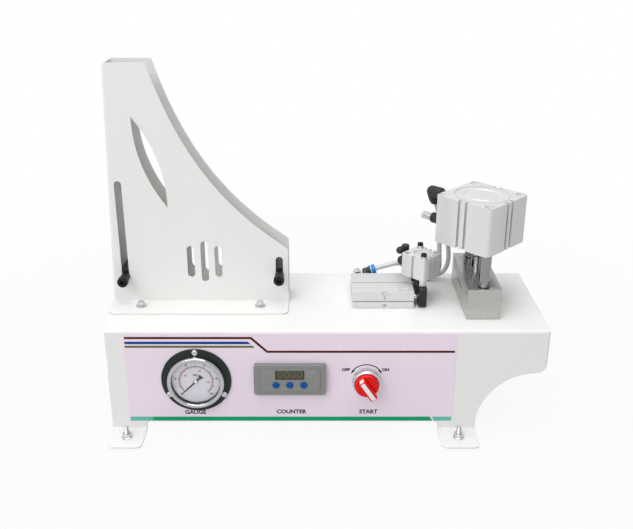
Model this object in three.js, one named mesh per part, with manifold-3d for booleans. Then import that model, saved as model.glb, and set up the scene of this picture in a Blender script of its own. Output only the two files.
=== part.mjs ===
// Bench punch that cuts round cover caps from edge band. A folded sheet stand carries an air gauge,
// a counter and a selector on its front, a roll magazine, a twin-rod feed slide with a clamping
// cylinder, and a die block under a large compact cylinder.
// Millimetres, +Z up, front towards -Y. The origin is on the ground, under the middle of the outline.
import * as THREE from 'three';
import { mergeVertices } from 'three/addons/utils/BufferGeometryUtils.js';
import Module from 'manifold-3d';

const wasm = await Module();
wasm.setup();

// Clearances
const seatGap = 0.3;
const runGap = 0.3;
const filmGap = 0.1;
const overrun = 1;
const weld = 0.0001;

// Facets
const fineSides = 28;
const bezelSides = 24;
const roundSides = 16;
const padSides = 12;
const smallSides = 10;
const hexSides = 6;
const arcSteps = 1;
const bendSteps = 2;
const slotSteps = 3;
const cornerSteps = 4;
const curveSteps = 12;
const tubeSides = 8;
const tubeSteps = 21;

// Stand: one sheet folded into a deck, two skirts and four foot flanges
const standWidth = 525;
const standDepth = 170;
const standHeight = 142;
const sheet = 2;
const bendRadius = 3;
const skirtGroundGap = 17.5;
const footReach = 40;
const footCorner = 7;
const notchRadius = 5;
const leftFootWidth = 42;
const rightFootWidth = 46;
const endRun = 80.5;
const endSkirtDrop = 57;
const endCorner = 12;
const endRise = 30;
const endRunIn = 40;

// Rubber feet, with a stud and nut through each foot flange
const padHeight = 6;
const padRadius = 11;
const padTopRadius = 9;
const studRadius = 3;
const studRise = 17;
const studInset = 19;
const nutFlats = 10;
const nutHeight = 5.5;
const nutFlangeRadius = 6.6;
const nutFlangeHeight = 1.2;
const studHoleSlack = 0.5;

// Printed panel overlay and the row of controls on it
const overlayWidth = 393.5;
const overlayHeight = 120;
const overlayThickness = 0.4;
const overlayFromLeft = 22;
const overlayFromTop = 3.5;
const controlsDrop = 65.5;
const gaugeFromLeft = 106;
const counterFromLeft = 218.3;
const switchFromLeft = 309.7;

// Air gauge
const gaugeFlangeRadius = 42;
const gaugeFlangeThickness = 1.4;
const gaugeCaseRadius = 30;
const gaugeCaseDepth = 28;
const gaugeRimProud = 5;
const gaugeStemRadius = 6;
const gaugeStemLength = 16;
const gaugeScrewCircle = 38;
const gaugeScrewHole = 1.8;
const gaugeScrewCount = 3;
const bezelRadius = 33.5;
const bezelLip = 3;
const bezelWall = 1.6;
const bezelHeight = 8.5;
const dialRadius = 27.5;
const dialThickness = 0.8;
const dialDepth = 3;
const spindleRadius = 1.2;
const spindleProud = 1.6;
const needleLength = 23;
const needleTail = 10;
const needleHubRadius = 3;
const needleRootWidth = 2.2;
const needleTipWidth = 0.7;
const needleThickness = 0.6;
const needleHubHeight = 1.2;
const needleRestAngle = 135 * Math.PI / 180;
const lensThickness = 1.2;

// Preset counter
const counterWidth = 86;
const counterHeight = 40;
const counterRise = 3;
const counterProud = 7;
const counterCorner = 3;
const counterBodyWidth = 78;
const counterBodyHeight = 36;
const counterBodyDepth = 58;
const counterFrameWidth = 72;
const counterFrameHeight = 30;
const counterFrameRise = 1;
const displayWidth = 34;
const displayHeight = 12.5;
const displayRise = 7.4;
const displayThickness = 1.5;
const displayRecess = 2.2;
const buttonRadius = 4.1;
const buttonPitch = 16.5;
const buttonDrop = 5.6;
const buttonProud = 1.8;
const buttonStem = 3;
const buttonTravel = 1;
const buttonCrown = 0.5;

// Selector switch
const switchHoleRadius = 11.2;
const switchBezelRadius = 17;
const switchBezelHeight = 12;
const switchBezelCrown = 1.6;
const switchBarrelRadius = 10.8;
const switchBarrelLength = 14;
const switchBoreRadius = 14.8;
const switchBoreDepth = 3.5;
const knobDiscRadius = 14.2;
const knobDiscHeight = 8.5;
const knobHandleLength = 28;
const knobHandleWidth = 9;
const knobHandleHeight = 8.5;
const knobHandleOffset = 2;
const knobHandleTaper = 1.2;
const knobRestAngle = -56 * Math.PI / 180;
const contactWidth = 30;
const contactHeight = 42;
const contactDepth = 34;
const contactCorner = 2;

// Roll magazine: one folded sheet with a front and a back plate
const magazineOverhang = 4.5;
const magazineFromFront = 77.6;
const magazineLength = 219.5;
const magazineHeight = 298;
const magazineInner = 34.8;
const magazineLean = 11;
const magazineTopLength = 61.5;
const magazineMouthHeight = 73;
const magazineTopCorner = 6;
const flangeReach = 36;
const flangeCorner = 5;
const slotWidth = 9;
const leftSlotX = 17.5;
const leftSlotLow = 31;
const leftSlotHigh = 159;
const rightSlotInset = 11;
const rightSlotLow = 33;
const rightSlotHigh = 61.6;
const leafTopX = 39.7;
const leafTopZ = 237;
const leafLowX = 75.5;
const leafLowZ = 125;
const leafBulge = 10;
const windowX = 116.5;
const windowZ = 55;
const windowRadius = 27;
const windowSlotWidth = 9;
const windowPitch = 17;
const boltInset = 37.5;
const boltFarInset = 35;
const boltFromFold = 16;
const boltWasherRadius = 6.5;
const boltWasherHeight = 1.2;
const boltFlats = 8;
const boltHeadHeight = 5;
const boltShankRadius = 2.5;
const boltLength = 12;
const boltHoleSlack = 0.4;
// Bezier handles of the concave edge, across and down, as shares of its width and height
const edgeFirstAcrossShare = 0.173;
const edgeFirstDownShare = 0.408;
const edgeSecondAcrossShare = 0.455;
const edgeSecondDownShare = 0.74;

// Roll pins: long socket screws with a collar in front, a nut behind and a roller between the plates
const pinRadius = 4;
const pinProud = 20;
const pinHeadRadius = 6.5;
const pinHeadHeight = 8;
const pinCollarRadius = 5.6;
const pinSocketFlats = 6;
const pinSocketDepth = 4;
const pinNutRadius = 7.2;
const pinNutHeight = 6.5;
const pinTail = 4;
const rollerRadius = 9;

// Feed cylinder with two rods and an end plate
const feedFromLeft = 294.6;
const feedFromFront = 59.5;
const feedLength = 75.6;
const feedDepth = 57.5;
const feedHeight = 22;
const feedCorner = 1.2;
const feedGrooveWidth = 6;
const feedGrooveDepth = 1.6;
const feedSideGroove = 2.2;
const feedSideGrooveZ = 9;
const feedScrewX = 39.4;
const feedScrewInset = 4.5;
const feedScrewRadius = 2.7;
const feedScrewSink = 4.6;
const feedScrewSinkDepth = 5;
const feedTapX = 54;
const feedTapPitch = 10;
const feedTapRadius = 2.1;
const feedTapDepth = 6;
const feedRodRadius = 4;
const feedRodSpan = 34;
const feedRodExposed = 6;
const feedRodGuide = 38;
const feedBossRadius = 6.5;
const feedBossDepth = 1.5;
const feedStroke = 20;
const plateThickness = 9.7;
const plateRise = 1.6;
const plateTop = 26;
const plateCorner = 1.5;
const portX = 19.5;
const portZ = 17.8;
const portRadius = 2.5;
const portDepth = 6;
const fittingReach = 15;
const fittingRadius = 5.2;
const fittingTilt = 20 * Math.PI / 180;
const fittingStartRadius = 2.6;
const fittingStartRun = 4;
const fittingRun = 7.8;
const fittingEndRadius = 6.4;
const ringRadius = 6.2;
const ringLength = 5.8;
const ringNeck = 0.8;
const plugX = 8.5;
const plugHeadHeight = 16;
const plugHeadEase = 0.5;
const plugSocketFlats = 4;
const plugHeadRadius = 4.9;
const plugSocketDepth = 2.5;

// Clamping cylinder on the end plate
const gripSide = 36;
const gripHeight = 28.4;
const gripCorner = 2.5;
const gripSpacer = 8.3;
const gripScrewOffset = 18;
const gripSpacerRadius = 4;
const gripScrewRadius = 2;
const gripHoleRadius = 2.5;
const gripHeadRadius = 3.5;
const gripHeadHeight = 4.4;
const gripWasherRadius = 4.6;
const gripWasherHeight = 1.2;
const gripScrewBite = 10;
const gripSocketFlats = 3;
const gripSocketDepth = 2;
const gripRingRadius = 11;
const gripRingDepth = 0.8;
const gripRingInner = 8.5;
const gripGrooveWidth = 5;
const gripGrooveDepth = 1.8;
const gripBoreRadius = 5.6;
const gripBoreDepth = 14;
const plungerRadius = 5;
const plungerGuide = 5.8;
const padDiscRadius = 8;
const padDiscHeight = 4;
const padDiscEase = 1;
const bandRoom = 3.5;
const gripStroke = 3.2;
const gripPortRadius = 2.6;
const gripPortDepth = 4;
const gripPortHigh = 22;
const gripPortLow = 9.5;
const elbowStubRadius = 2.2;
const elbowStub = 4.5;
const elbowNeckRadius = 4;
const elbowRadius = 5.8;
const elbowReach = 13;
const elbowArm = 10;
const elbowMouthRadius = 4.9;
const elbowMouthLength = 3;
const silencerReach = 8;
const silencerBarrelRadius = 4.8;
const silencerBarrelTop = 10.5;
const silencerRadius = 4.4;
const silencerArm = 15;
const silencerArmRise = 5.6;

// Die block, guide posts and punch cylinder
const punchFromLeft = 450.5;
const punchFromFront = 87.6;
const blockWidth = 41;
const blockDepth = 116.7;
const blockHeight = 38.5;
const bandSlitWidth = 33;
const bandSlitHeight = 2;
const bandSlitZ = 22;
const dieRadius = 8;
const dieRelief = 1.5;
const dieLand = 5;
const dropHoleRadius = 13;
const postRadius = 7;
const postOffset = 46.8;
const postPocket = 1.5;
const postPocketRadius = 9;
const punchBase = 78.7;
const punchSide = 80;
const punchHeight = 60;
const punchCorner = 6;
const punchGrooveWidth = 3.6;
const punchGrooveDepth = 2.4;
const punchGrooveOffset = 4.8;
const punchCapRadius = 34;
const punchCapDepth = 0.8;
const punchCapLand = 1.6;
const punchBossRadius = 21.5;
const punchSinkRadius = 5.5;
const punchSinkDepth = 1.5;
const punchBoreRadius = 10.8;
const punchBoreDepth = 26;
const rodRadius = 10;
const rodGuide = 8;
const rodNeckZ = 60;
const punchTipGap = 0.8;
const punchStroke = 12;
const punchPortRadius = 6.6;
const punchPortDepth = 7;
const elbowPortZ = 47.3;
const valvePortZ = 12.8;
const airElbowStubRadius = 6;
const airElbowRadius = 7.5;
const airElbowReach = 34;
const airElbowDrop = 13;
const airElbowTilt = 25 * Math.PI / 180;
const airElbowNeck = 5;
const airElbowMouthRadius = 6.4;
const airElbowMouth = 4;
const valveHexFlats = 14;
const valveHexStart = 6;
const valveHexLength = 5;
const valveBodyRadius = 6.8;
const valveBodyEnd = 33;
const valveOutletAt = 19;
const valveOutletRadius = 5.6;
const valveOutletDrop = 12;
const valveCollarRadius = 4.6;
const valveCollarLength = 3;
const valveStemRadius = 1.8;
const valveStemLength = 4;
const valveKnobRadius = 4.9;
const valveKnobLength = 12;
const valveKnobFlutes = 16;
const valveKnobFluteDepth = 0.4;

// Air tubes, their grommet and the valves under the deck
const tubeRadius = 3;
const grommetFromLeft = 368;
const grommetFromFront = 147;
const grommetRadius = 15;
const grommetHoleRadius = 12.5;
const grommetBore = 10.5;
const grommetLip = 1.5;
const islandWidth = 74;
const islandDepth = 40;
const islandHeight = 34;
const islandFromLeft = 308.5;
const islandFromFront = 145;
const islandCorner = 2;
const valveCount = 3;
const valveBodyWidth = 16;
const valveBodyLength = 38;
const valveBodyHeight = 26;
const valvePitch = 22;
const coilRadius = 7;
const coilHeight = 12;
const islandPortRadius = 3.6;
const islandPortDepth = 6;
const inletFromLeft = 412.5;
const inletDrop = 62;
const inletRadius = 8;
const inletHexFlats = 20;
const inletHexHeight = 6;
const inletReach = 16;
const inletInside = 18;
const inletBore = 4;
const inletBoreDepth = 12;
const glandFromLeft = 72.5;
const glandDrop = 70;
const glandRadius = 6;
const glandFlats = 18;
const glandHexHeight = 6;
const glandDomeRadius = 8;
const glandReach = 17;
const glandInside = 10;
const glandBore = 3.5;
const glandBoreDepth = 14;
const glandLip = 1;

// Centre lines of the air tubes: x from the deck's left edge, y from its front face, z from its top
const upperTubeRoute = [
  [402.1, 144.3, 113.4], [403.8, 146, 108], [406.2, 148.2, 101], [409.5, 150.2, 91],
  [413.7, 150.6, 78], [418.5, 148.8, 64], [422.5, 146.4, 50], [424.1, 145.6, 36], [423.7, 146.2, 24],
  [420.1, 148, 13], [412.5, 150, 6], [403.5, 150.9, 3.7], [393.5, 150.9, 3.4], [384, 150.9, 4.9],
  [377.5, 150.9, 6.4], [373.1, 150.9, 3.4], [371.8, 150.9, -3], [371.7, 150.9, -10],
  [370.1, 150.9, -20], [363.5, 150.9, -27], [354.5, 150.9, -28], [346.5, 150.9, -28],
  [340.5, 150.9, -28],
];
const lowerTubeRoute = [
  [408.57, 129.53, 83], [408.57, 129.53, 78], [408.6, 129.7, 69], [408.8, 130.2, 58],
  [409.5, 131.6, 45], [410.7, 134, 33], [411.3, 137, 22], [409.1, 140, 12.5], [402.5, 142.4, 5.6],
  [393.5, 143.1, 3.4], [384.5, 143.1, 4.6], [377.5, 143.1, 6], [373.1, 143.1, 3.2], [371.8, 143.1, -3],
  [371.7, 143.1, -10], [370.1, 143.1, -20], [363.5, 143.1, -27], [354.5, 143.1, -28],
  [346.5, 143.1, -28], [340.5, 143.1, -28],
];
const feedTubeRoute = [
  [322.09, 132, 20.7], [326.8, 132, 22.4], [333, 132, 24.5], [341, 132.2, 26.7], [349, 132.8, 28.6],
  [356, 134, 29.2], [362, 136.4, 27], [365.2, 139.2, 22], [365.8, 141.6, 15.2], [364.8, 143, 8],
  [364, 143.1, 1], [363.9, 143.1, -5], [360, 143.1, -14], [352.5, 143.1, -16], [346.5, 143.1, -16],
  [340.5, 143.1, -16],
];
const gripTubeRoute = [
  [364.1, 114.9, 43.8], [366.6, 117.4, 43.8], [371.2, 121.8, 43.4], [374.9, 126.6, 41.6],
  [376.6, 132.4, 37.8], [376.8, 138, 31.4], [374.8, 143.8, 23.4], [371, 147.8, 15], [367, 150.4, 7],
  [364.2, 150.9, 0], [363.8, 150.9, -6], [360.5, 150.9, -14], [352.5, 150.9, -16], [346.5, 150.9, -16],
  [340.5, 150.9, -16],
];

// Materials
const surface = (color, roughness, metalness) => (
  new THREE.MeshStandardMaterial({ color, roughness, metalness })
);
const whitePaint = surface(0xf1f1ef, 0.45, 0);
const overlayFilm = surface(0xdccfda, 0.4, 0);
const blackRubber = surface(0x1c1c1c, 0.8, 0);
const zincSteel = surface(0xc9cacb, 0.35, 0.9);
const greenBlackPaint = surface(0x1e2a26, 0.4, 0.2);
const chrome = surface(0xd8d8d8, 0.12, 1);
const dialWhite = surface(0xf4f3ee, 0.5, 0);
const needleBlack = surface(0x151515, 0.5, 0);
const clearGlass = surface(0xe8eef0, 0.05, 0);
const greyPlastic = surface(0x8e908e, 0.5, 0);
const displayGlass = surface(0x4a4632, 0.2, 0);
const blueRubber = surface(0x1565a8, 0.55, 0);
const redPlastic = surface(0xf01a0a, 0.35, 0);
const blackOxide = surface(0x202122, 0.5, 0.6);
const blackPlastic = surface(0x1d1e20, 0.5, 0);
const anodised = surface(0xd5d5d5, 0.4, 0.9);
const blackAnodised = surface(0x26272a, 0.45, 0.7);
const groundSteel = surface(0xa8a8a8, 0.3, 1);
const tubeGrey = surface(0xc9cdd0, 0.3, 0);
const brass = surface(0xc9a24c, 0.3, 1);
const lightPlastic = surface(0xd9d7cf, 0.55, 0);

// Solids and cuts
function solid(geometry) {
  geometry.deleteAttribute('normal');
  geometry.deleteAttribute('uv');
  const merged = mergeVertices(geometry, weld);
  const vertProperties = new Float32Array(merged.attributes.position.array);
  const triVerts = new Uint32Array(merged.index.array);
  return new wasm.Manifold(new wasm.Mesh({ numProp: 3, vertProperties, triVerts }));
}

function geometryOf(body) {
  const mesh = body.getMesh();
  const geometry = new THREE.BufferGeometry();
  geometry.setAttribute('position', new THREE.BufferAttribute(mesh.vertProperties, mesh.numProp));
  geometry.setIndex(new THREE.BufferAttribute(mesh.triVerts, 1));
  const faceted = geometry.toNonIndexed();
  faceted.computeVertexNormals();
  return faceted;
}

const join = (first, ...others) => others.reduce((body, other) => body.add(other), first);
const cut = (first, ...others) => others.reduce((body, other) => body.subtract(other), first);

function addPart(group, name, body, material) {
  const part = new THREE.Mesh(geometryOf(body), material);
  part.name = name;
  group.add(part);
  return part;
}

function addGroup(parent, x = 0, y = 0, z = 0) {
  const group = new THREE.Group();
  group.position.set(x, y, z);
  parent.add(group);
  return group;
}

// Outlines; an arc has a fixed number of steps, so small corners stay light
function arc(outline, x, y, radius, from, to, steps = arcSteps) {
  for (let step = 0; step <= steps; step += 1) {
    const angle = from + (to - from) * step / steps;
    outline.lineTo(x + radius * Math.cos(angle), y + radius * Math.sin(angle));
  }
}

function polygon(points) {
  return new THREE.Shape(points.map(([x, y]) => new THREE.Vector2(x, y)));
}

function roundedRectangle(width, height, radius, x = 0, y = 0, steps = arcSteps) {
  const outline = new THREE.Shape();
  const [left, right, low, high] = [x - width / 2, x + width / 2, y - height / 2, y + height / 2];
  outline.moveTo(left + radius, low);
  arc(outline, right - radius, low + radius, radius, -Math.PI / 2, 0, steps);
  arc(outline, right - radius, high - radius, radius, 0, Math.PI / 2, steps);
  arc(outline, left + radius, high - radius, radius, Math.PI / 2, Math.PI, steps);
  arc(outline, left + radius, low + radius, radius, Math.PI, Math.PI * 3 / 2, steps);
  return outline;
}

function rectangle(width, height, x = 0, y = 0) {
  return polygon([
    [x - width / 2, y - height / 2],
    [x + width / 2, y - height / 2],
    [x + width / 2, y + height / 2],
    [x - width / 2, y + height / 2],
  ]);
}

function uprightSlot(x, low, high, width) {
  return roundedRectangle(width, high - low, width / 2 - weld, x, (low + high) / 2, slotSteps);
}

// Extrusions along each axis: the outline is drawn in (x, y), (x, z) or (y, z)
function extruded(outline, depth, steps = 1) {
  return new THREE.ExtrudeGeometry(outline, { depth, bevelEnabled: false, curveSegments: steps });
}

function alongZ(outline, low, high, steps) {
  return solid(extruded(outline, high - low, steps).translate(0, 0, low));
}

function alongY(outline, near, far, steps) {
  return solid(extruded(outline, far - near, steps).rotateX(Math.PI / 2).translate(0, far, 0));
}

function alongX(outline, left, right, steps) {
  const turn = new THREE.Matrix4().makeBasis(
    new THREE.Vector3(0, 1, 0),
    new THREE.Vector3(0, 0, 1),
    new THREE.Vector3(1, 0, 0),
  );
  return solid(extruded(outline, right - left, steps).applyMatrix4(turn).translate(left, 0, 0));
}

// Turned pieces: a profile of (radius, station) pairs round an axis, stations rising along it
const up = new THREE.Vector3(0, 0, 1);
const back = new THREE.Vector3(0, 1, 0);
const front = new THREE.Vector3(0, -1, 0);
const right = new THREE.Vector3(1, 0, 0);
const left = new THREE.Vector3(-1, 0, 0);
const down = new THREE.Vector3(0, 0, -1);

function turned(profile, axis = up, sides = roundSides, x = 0, y = 0, z = 0) {
  const points = profile.map(([radius, station]) => new THREE.Vector2(radius, station));
  const turn = new THREE.Quaternion().setFromUnitVectors(back, axis);
  return solid(new THREE.LatheGeometry(points, sides).applyQuaternion(turn).translate(x, y, z));
}

function rod(radius, from, to, axis = up, sides = roundSides, x = 0, y = 0, z = 0) {
  return turned([[0, from], [radius, from], [radius, to], [0, to]], axis, sides, x, y, z);
}

function hexagon(flats, from, to, axis = up, x = 0, y = 0, z = 0) {
  return rod(flats / 2 / Math.cos(Math.PI / hexSides), from, to, axis, hexSides, x, y, z);
}

function tube(route) {
  const points = route.map((point) => new THREE.Vector3(...point));
  const path = new THREE.CatmullRomCurve3(points, false, 'centripetal');
  const section = new THREE.Shape();
  section.moveTo(tubeRadius, 0);
  arc(section, 0, 0, tubeRadius, 0, Math.PI * 2, tubeSides);
  return new THREE.ExtrudeGeometry(section, {
    steps: tubeSteps,
    extrudePath: path,
    bevelEnabled: false,
  });
}

// The model's frame sits under the middle of the outline, which the magazine widens on the left
const assembly = new THREE.Group();
const stand = addGroup(assembly, magazineOverhang / 2);
const leftEdge = -standWidth / 2;
const frontFace = -standDepth / 2;
const controlsHeight = standHeight - controlsDrop;
const deck = addGroup(stand, 0, 0, standHeight);
const overlayFront = frontFace - filmGap - overlayThickness;
const panelOrigin = (fromLeft, rise = 0) => (
  addGroup(stand, leftEdge + fromLeft, overlayFront, controlsHeight + rise)
);
const studX = [leftEdge + leftFootWidth / 2, -leftEdge - endRun - rightFootWidth / 2];
const studY = [frontFace - studInset, -frontFace + studInset];

// Stand: a hat section cut to the front outline and to the plan outline
function standSection() {
  const outer = new THREE.Shape();
  const half = standDepth / 2;
  const inside = bendRadius - sheet;
  const reach = half + footReach;
  outer.moveTo(-reach, padHeight);
  outer.lineTo(-half + sheet - bendRadius, padHeight);
  arc(outer, -half + sheet - bendRadius, padHeight + bendRadius, bendRadius, -Math.PI / 2, 0, bendSteps);
  outer.lineTo(-half + sheet, standHeight - bendRadius);
  arc(outer, -half + bendRadius, standHeight - bendRadius, inside, Math.PI, Math.PI / 2, bendSteps);
  outer.lineTo(half - bendRadius, standHeight - sheet);
  arc(outer, half - bendRadius, standHeight - bendRadius, inside, Math.PI / 2, 0, bendSteps);
  outer.lineTo(half - sheet, padHeight + bendRadius);
  arc(
    outer, half - sheet + bendRadius, padHeight + bendRadius, bendRadius,
    Math.PI, Math.PI * 3 / 2, bendSteps,
  );
  outer.lineTo(reach, padHeight);
  outer.lineTo(reach, padHeight + sheet);
  outer.lineTo(half + inside, padHeight + sheet);
  arc(outer, half + inside, padHeight + bendRadius, inside, -Math.PI / 2, -Math.PI, bendSteps);
  outer.lineTo(half, standHeight - bendRadius);
  arc(outer, half - bendRadius, standHeight - bendRadius, bendRadius, 0, Math.PI / 2, bendSteps);
  outer.lineTo(-half + bendRadius, standHeight);
  arc(outer, -half + bendRadius, standHeight - bendRadius, bendRadius, Math.PI / 2, Math.PI, bendSteps);
  outer.lineTo(-half, padHeight + bendRadius);
  arc(outer, -half - inside, padHeight + bendRadius, inside, 0, -Math.PI / 2, bendSteps);
  outer.lineTo(-reach, padHeight + sheet);
  return outer;
}

function standFrontOutline() {
  const outline = new THREE.Shape();
  const low = padHeight - overrun;
  const high = standHeight + overrun;
  const leftFootEnd = leftEdge + leftFootWidth;
  const rightFootEnd = -leftEdge - endRun;
  const rightFootStart = rightFootEnd - rightFootWidth;
  const endLow = standHeight - endSkirtDrop;
  const notchZ = skirtGroundGap - notchRadius;
  outline.moveTo(leftEdge, low);
  outline.lineTo(leftFootEnd, low);
  outline.lineTo(leftFootEnd, notchZ);
  arc(outline, leftFootEnd + notchRadius, notchZ, notchRadius, Math.PI, Math.PI / 2, cornerSteps);
  outline.lineTo(rightFootStart - notchRadius, skirtGroundGap);
  arc(outline, rightFootStart - notchRadius, notchZ, notchRadius, Math.PI / 2, 0, cornerSteps);
  outline.lineTo(rightFootStart, low);
  outline.lineTo(rightFootEnd, low);
  outline.lineTo(rightFootEnd, skirtGroundGap);
  outline.bezierCurveTo(
    rightFootEnd, skirtGroundGap + endRise,
    -leftEdge - endCorner - endRunIn, endLow,
    -leftEdge - endCorner, endLow,
  );
  arc(outline, -leftEdge - endCorner, endLow + endCorner, endCorner, -Math.PI / 2, 0, cornerSteps);
  outline.lineTo(-leftEdge, high);
  outline.lineTo(leftEdge, high);
  return outline;
}

function standBlank() {
  const reach = standDepth + 2 * footReach;
  const plan = alongZ(roundedRectangle(standWidth, standDepth, bendRadius / 2), 0, standHeight + overrun);
  const feet = studX.map((x, index) => {
    const width = index === 0 ? leftFootWidth : rightFootWidth;
    const flange = roundedRectangle(width, reach, footCorner, x, 0, cornerSteps);
    return alongZ(flange, 0, standHeight - endSkirtDrop);
  });
  const section = alongX(standSection(), leftEdge, -leftEdge);
  const outline = alongY(standFrontOutline(), -reach, reach, curveSteps);
  return section.intersect(outline).intersect(join(plan, ...feet));
}

function panelCuts(near, far) {
  const height = controlsHeight;
  const counterX = leftEdge + counterFromLeft;
  const counterHole = rectangle(
    counterBodyWidth + 2 * seatGap,
    counterBodyHeight + 2 * seatGap,
    counterX,
    height + counterRise,
  );
  return [
    rod(gaugeCaseRadius + seatGap, near, far, back, fineSides, leftEdge + gaugeFromLeft, 0, height),
    rod(switchHoleRadius, near, far, back, roundSides, leftEdge + switchFromLeft, 0, height),
    alongY(counterHole, near, far),
  ];
}

const punchX = leftEdge + punchFromLeft;
const punchY = frontFace + punchFromFront;
const grommetX = leftEdge + grommetFromLeft;
const grommetY = frontFace + grommetFromFront;
const inletX = leftEdge + inletFromLeft;
const glandX = leftEdge + glandFromLeft;
const magazineX = leftEdge - magazineOverhang;
const magazineY = frontFace + magazineFromFront;
const boltX = [boltInset, magazineLength - boltFarInset];
const rightSlotX = magazineLength - rightSlotInset;

function standHoles() {
  const low = standHeight - sheet - overrun;
  const high = standHeight + overrun;
  const studHoles = studX.flatMap((x) => studY.map((y) => (
    rod(studRadius + studHoleSlack, 0, padHeight + sheet + overrun, up, smallSides, x, y)
  )));
  const boltHoles = boltX.map((x) => (
    rod(boltShankRadius + boltHoleSlack, low, high, up, smallSides, magazineX + x, magazineY - boltFromFold)
  ));
  const rearLow = -frontFace - sheet - overrun;
  const rearHigh = -frontFace + overrun;
  return [
    ...studHoles,
    ...boltHoles,
    ...panelCuts(frontFace - overrun, frontFace + sheet + overrun),
    rod(dropHoleRadius, low, high, up, roundSides, punchX, punchY),
    rod(grommetHoleRadius, low, high, up, roundSides, grommetX, grommetY),
    rod(inletRadius + seatGap, rearLow, rearHigh, back, padSides, inletX, 0, standHeight - inletDrop),
    rod(glandRadius + seatGap, rearLow, rearHigh, back, padSides, glandX, 0, standHeight - glandDrop),
  ];
}

addPart(stand, 'base_cover', cut(standBlank(), ...standHoles()), whitePaint);

// Feet
function footPad() {
  return turned([
    [0, 0],
    [padRadius - padHeight / 6, 0],
    [padRadius, padHeight / 6],
    [padTopRadius, padHeight - seatGap],
    [0, padHeight - seatGap],
  ], up, padSides);
}

function footStud() {
  const seat = sheet + seatGap;
  const shaft = rod(studRadius, 0, studRise, up, smallSides);
  const flange = rod(nutFlangeRadius, seat, seat + nutFlangeHeight, up, smallSides);
  return join(shaft, flange, hexagon(nutFlats, seat, seat + nutHeight));
}

['left', 'right'].forEach((side, column) => {
  ['front', 'rear'].forEach((end, row) => {
    const foot = addGroup(stand, studX[column], studY[row]);
    addPart(foot, `foot_pad_${end}_${side}`, footPad(), blackRubber);
    const stud = addPart(foot, `foot_stud_${end}_${side}`, footStud(), zincSteel);
    stud.position.z = padHeight;
  });
});

// Panel overlay
const overlayOutline = roundedRectangle(
  overlayWidth,
  overlayHeight,
  bendRadius / 2,
  leftEdge + overlayFromLeft + overlayWidth / 2,
  standHeight - overlayFromTop - overlayHeight / 2,
);
const overlaySheet = alongY(overlayOutline, overlayFront, frontFace - filmGap);
const overlayFilmSheet = cut(overlaySheet, ...panelCuts(overlayFront - overrun, frontFace));
addPart(stand, 'panel_overlay', overlayFilmSheet, overlayFilm);

// Air gauge, stations measured outwards from the overlay
const gauge = panelOrigin(gaugeFromLeft);
const dialSeat = gaugeRimProud - dialDepth;
const dialFront = dialSeat + seatGap + dialThickness;
const spindleTip = dialFront + spindleProud;

function gaugeCase() {
  const bottom = -gaugeCaseDepth;
  const dialPocket = dialRadius + seatGap;
  const body = turned([
    [0, bottom - gaugeStemLength],
    [gaugeStemRadius, bottom - gaugeStemLength],
    [gaugeStemRadius, bottom],
    [gaugeCaseRadius, bottom],
    [gaugeCaseRadius, seatGap],
    [gaugeFlangeRadius, seatGap],
    [gaugeFlangeRadius, seatGap + gaugeFlangeThickness],
    [gaugeCaseRadius, seatGap + gaugeFlangeThickness],
    [gaugeCaseRadius, gaugeRimProud],
    [dialPocket, gaugeRimProud],
    [dialPocket, dialSeat],
    [spindleRadius, dialSeat],
    [spindleRadius, spindleTip],
    [0, spindleTip],
  ], front, fineSides);
  const holes = Array.from({ length: gaugeScrewCount }, (_, index) => {
    const angle = Math.PI / 2 + index * Math.PI * 2 / gaugeScrewCount;
    const x = gaugeScrewCircle * Math.cos(angle);
    const z = gaugeScrewCircle * Math.sin(angle);
    return rod(gaugeScrewHole, 0, seatGap + gaugeFlangeThickness + overrun, front, smallSides, x, 0, z);
  });
  return cut(body, ...holes);
}

const bezelSeat = seatGap + gaugeFlangeThickness + seatGap;
const lensSeat = spindleTip + needleHubHeight + runGap;
const lensFront = lensSeat + lensThickness;

function gaugeBezel() {
  const inner = gaugeCaseRadius + seatGap;
  return turned([
    [inner, bezelSeat],
    [bezelRadius, bezelSeat],
    [bezelRadius, bezelSeat + bezelHeight - bezelWall],
    [bezelRadius - bezelWall, bezelSeat + bezelHeight],
    [inner - bezelLip + bezelWall / 2, bezelSeat + bezelHeight],
    [inner - bezelLip, bezelSeat + bezelHeight - bezelWall / 2],
    [inner - bezelLip, lensFront + seatGap],
    [inner, lensFront + seatGap],
    [inner, bezelSeat],
  ], front, fineSides);
}

function gaugeDial() {
  const disc = rod(dialRadius, dialSeat + seatGap, dialFront, front, fineSides);
  return cut(disc, rod(spindleRadius + runGap, dialSeat, dialFront + overrun, front, smallSides));
}

function gaugeNeedle() {
  const low = dialFront + runGap;
  const high = low + needleThickness;
  const pointer = polygon([
    [-needleTail, -needleRootWidth],
    [-needleTail / 2, -needleRootWidth / 2],
    [0, -needleRootWidth / 2],
    [needleLength, -needleTipWidth / 2],
    [needleLength, needleTipWidth / 2],
    [0, needleRootWidth / 2],
    [-needleTail / 2, needleRootWidth / 2],
    [-needleTail, needleRootWidth],
  ]);
  const hub = rod(needleHubRadius, low, spindleTip + needleHubHeight, front, smallSides);
  const bore = rod(spindleRadius + runGap, low - overrun, spindleTip + runGap, front, smallSides);
  return cut(join(hub, alongY(pointer, -high, -low)), bore);
}

addPart(gauge, 'gauge_case', gaugeCase(), greenBlackPaint);
addPart(gauge, 'gauge_bezel', gaugeBezel(), chrome);
addPart(gauge, 'gauge_dial', gaugeDial(), dialWhite);
addPart(gauge, 'gauge_needle', gaugeNeedle(), needleBlack).rotation.y = needleRestAngle;
const gaugeLens = rod(gaugeCaseRadius - seatGap, lensSeat, lensFront, front, fineSides);
addPart(gauge, 'gauge_lens', gaugeLens, clearGlass);

// Preset counter
const counter = panelOrigin(counterFromLeft, counterRise);
const buttonX = [-buttonPitch, 0, buttonPitch];

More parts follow.
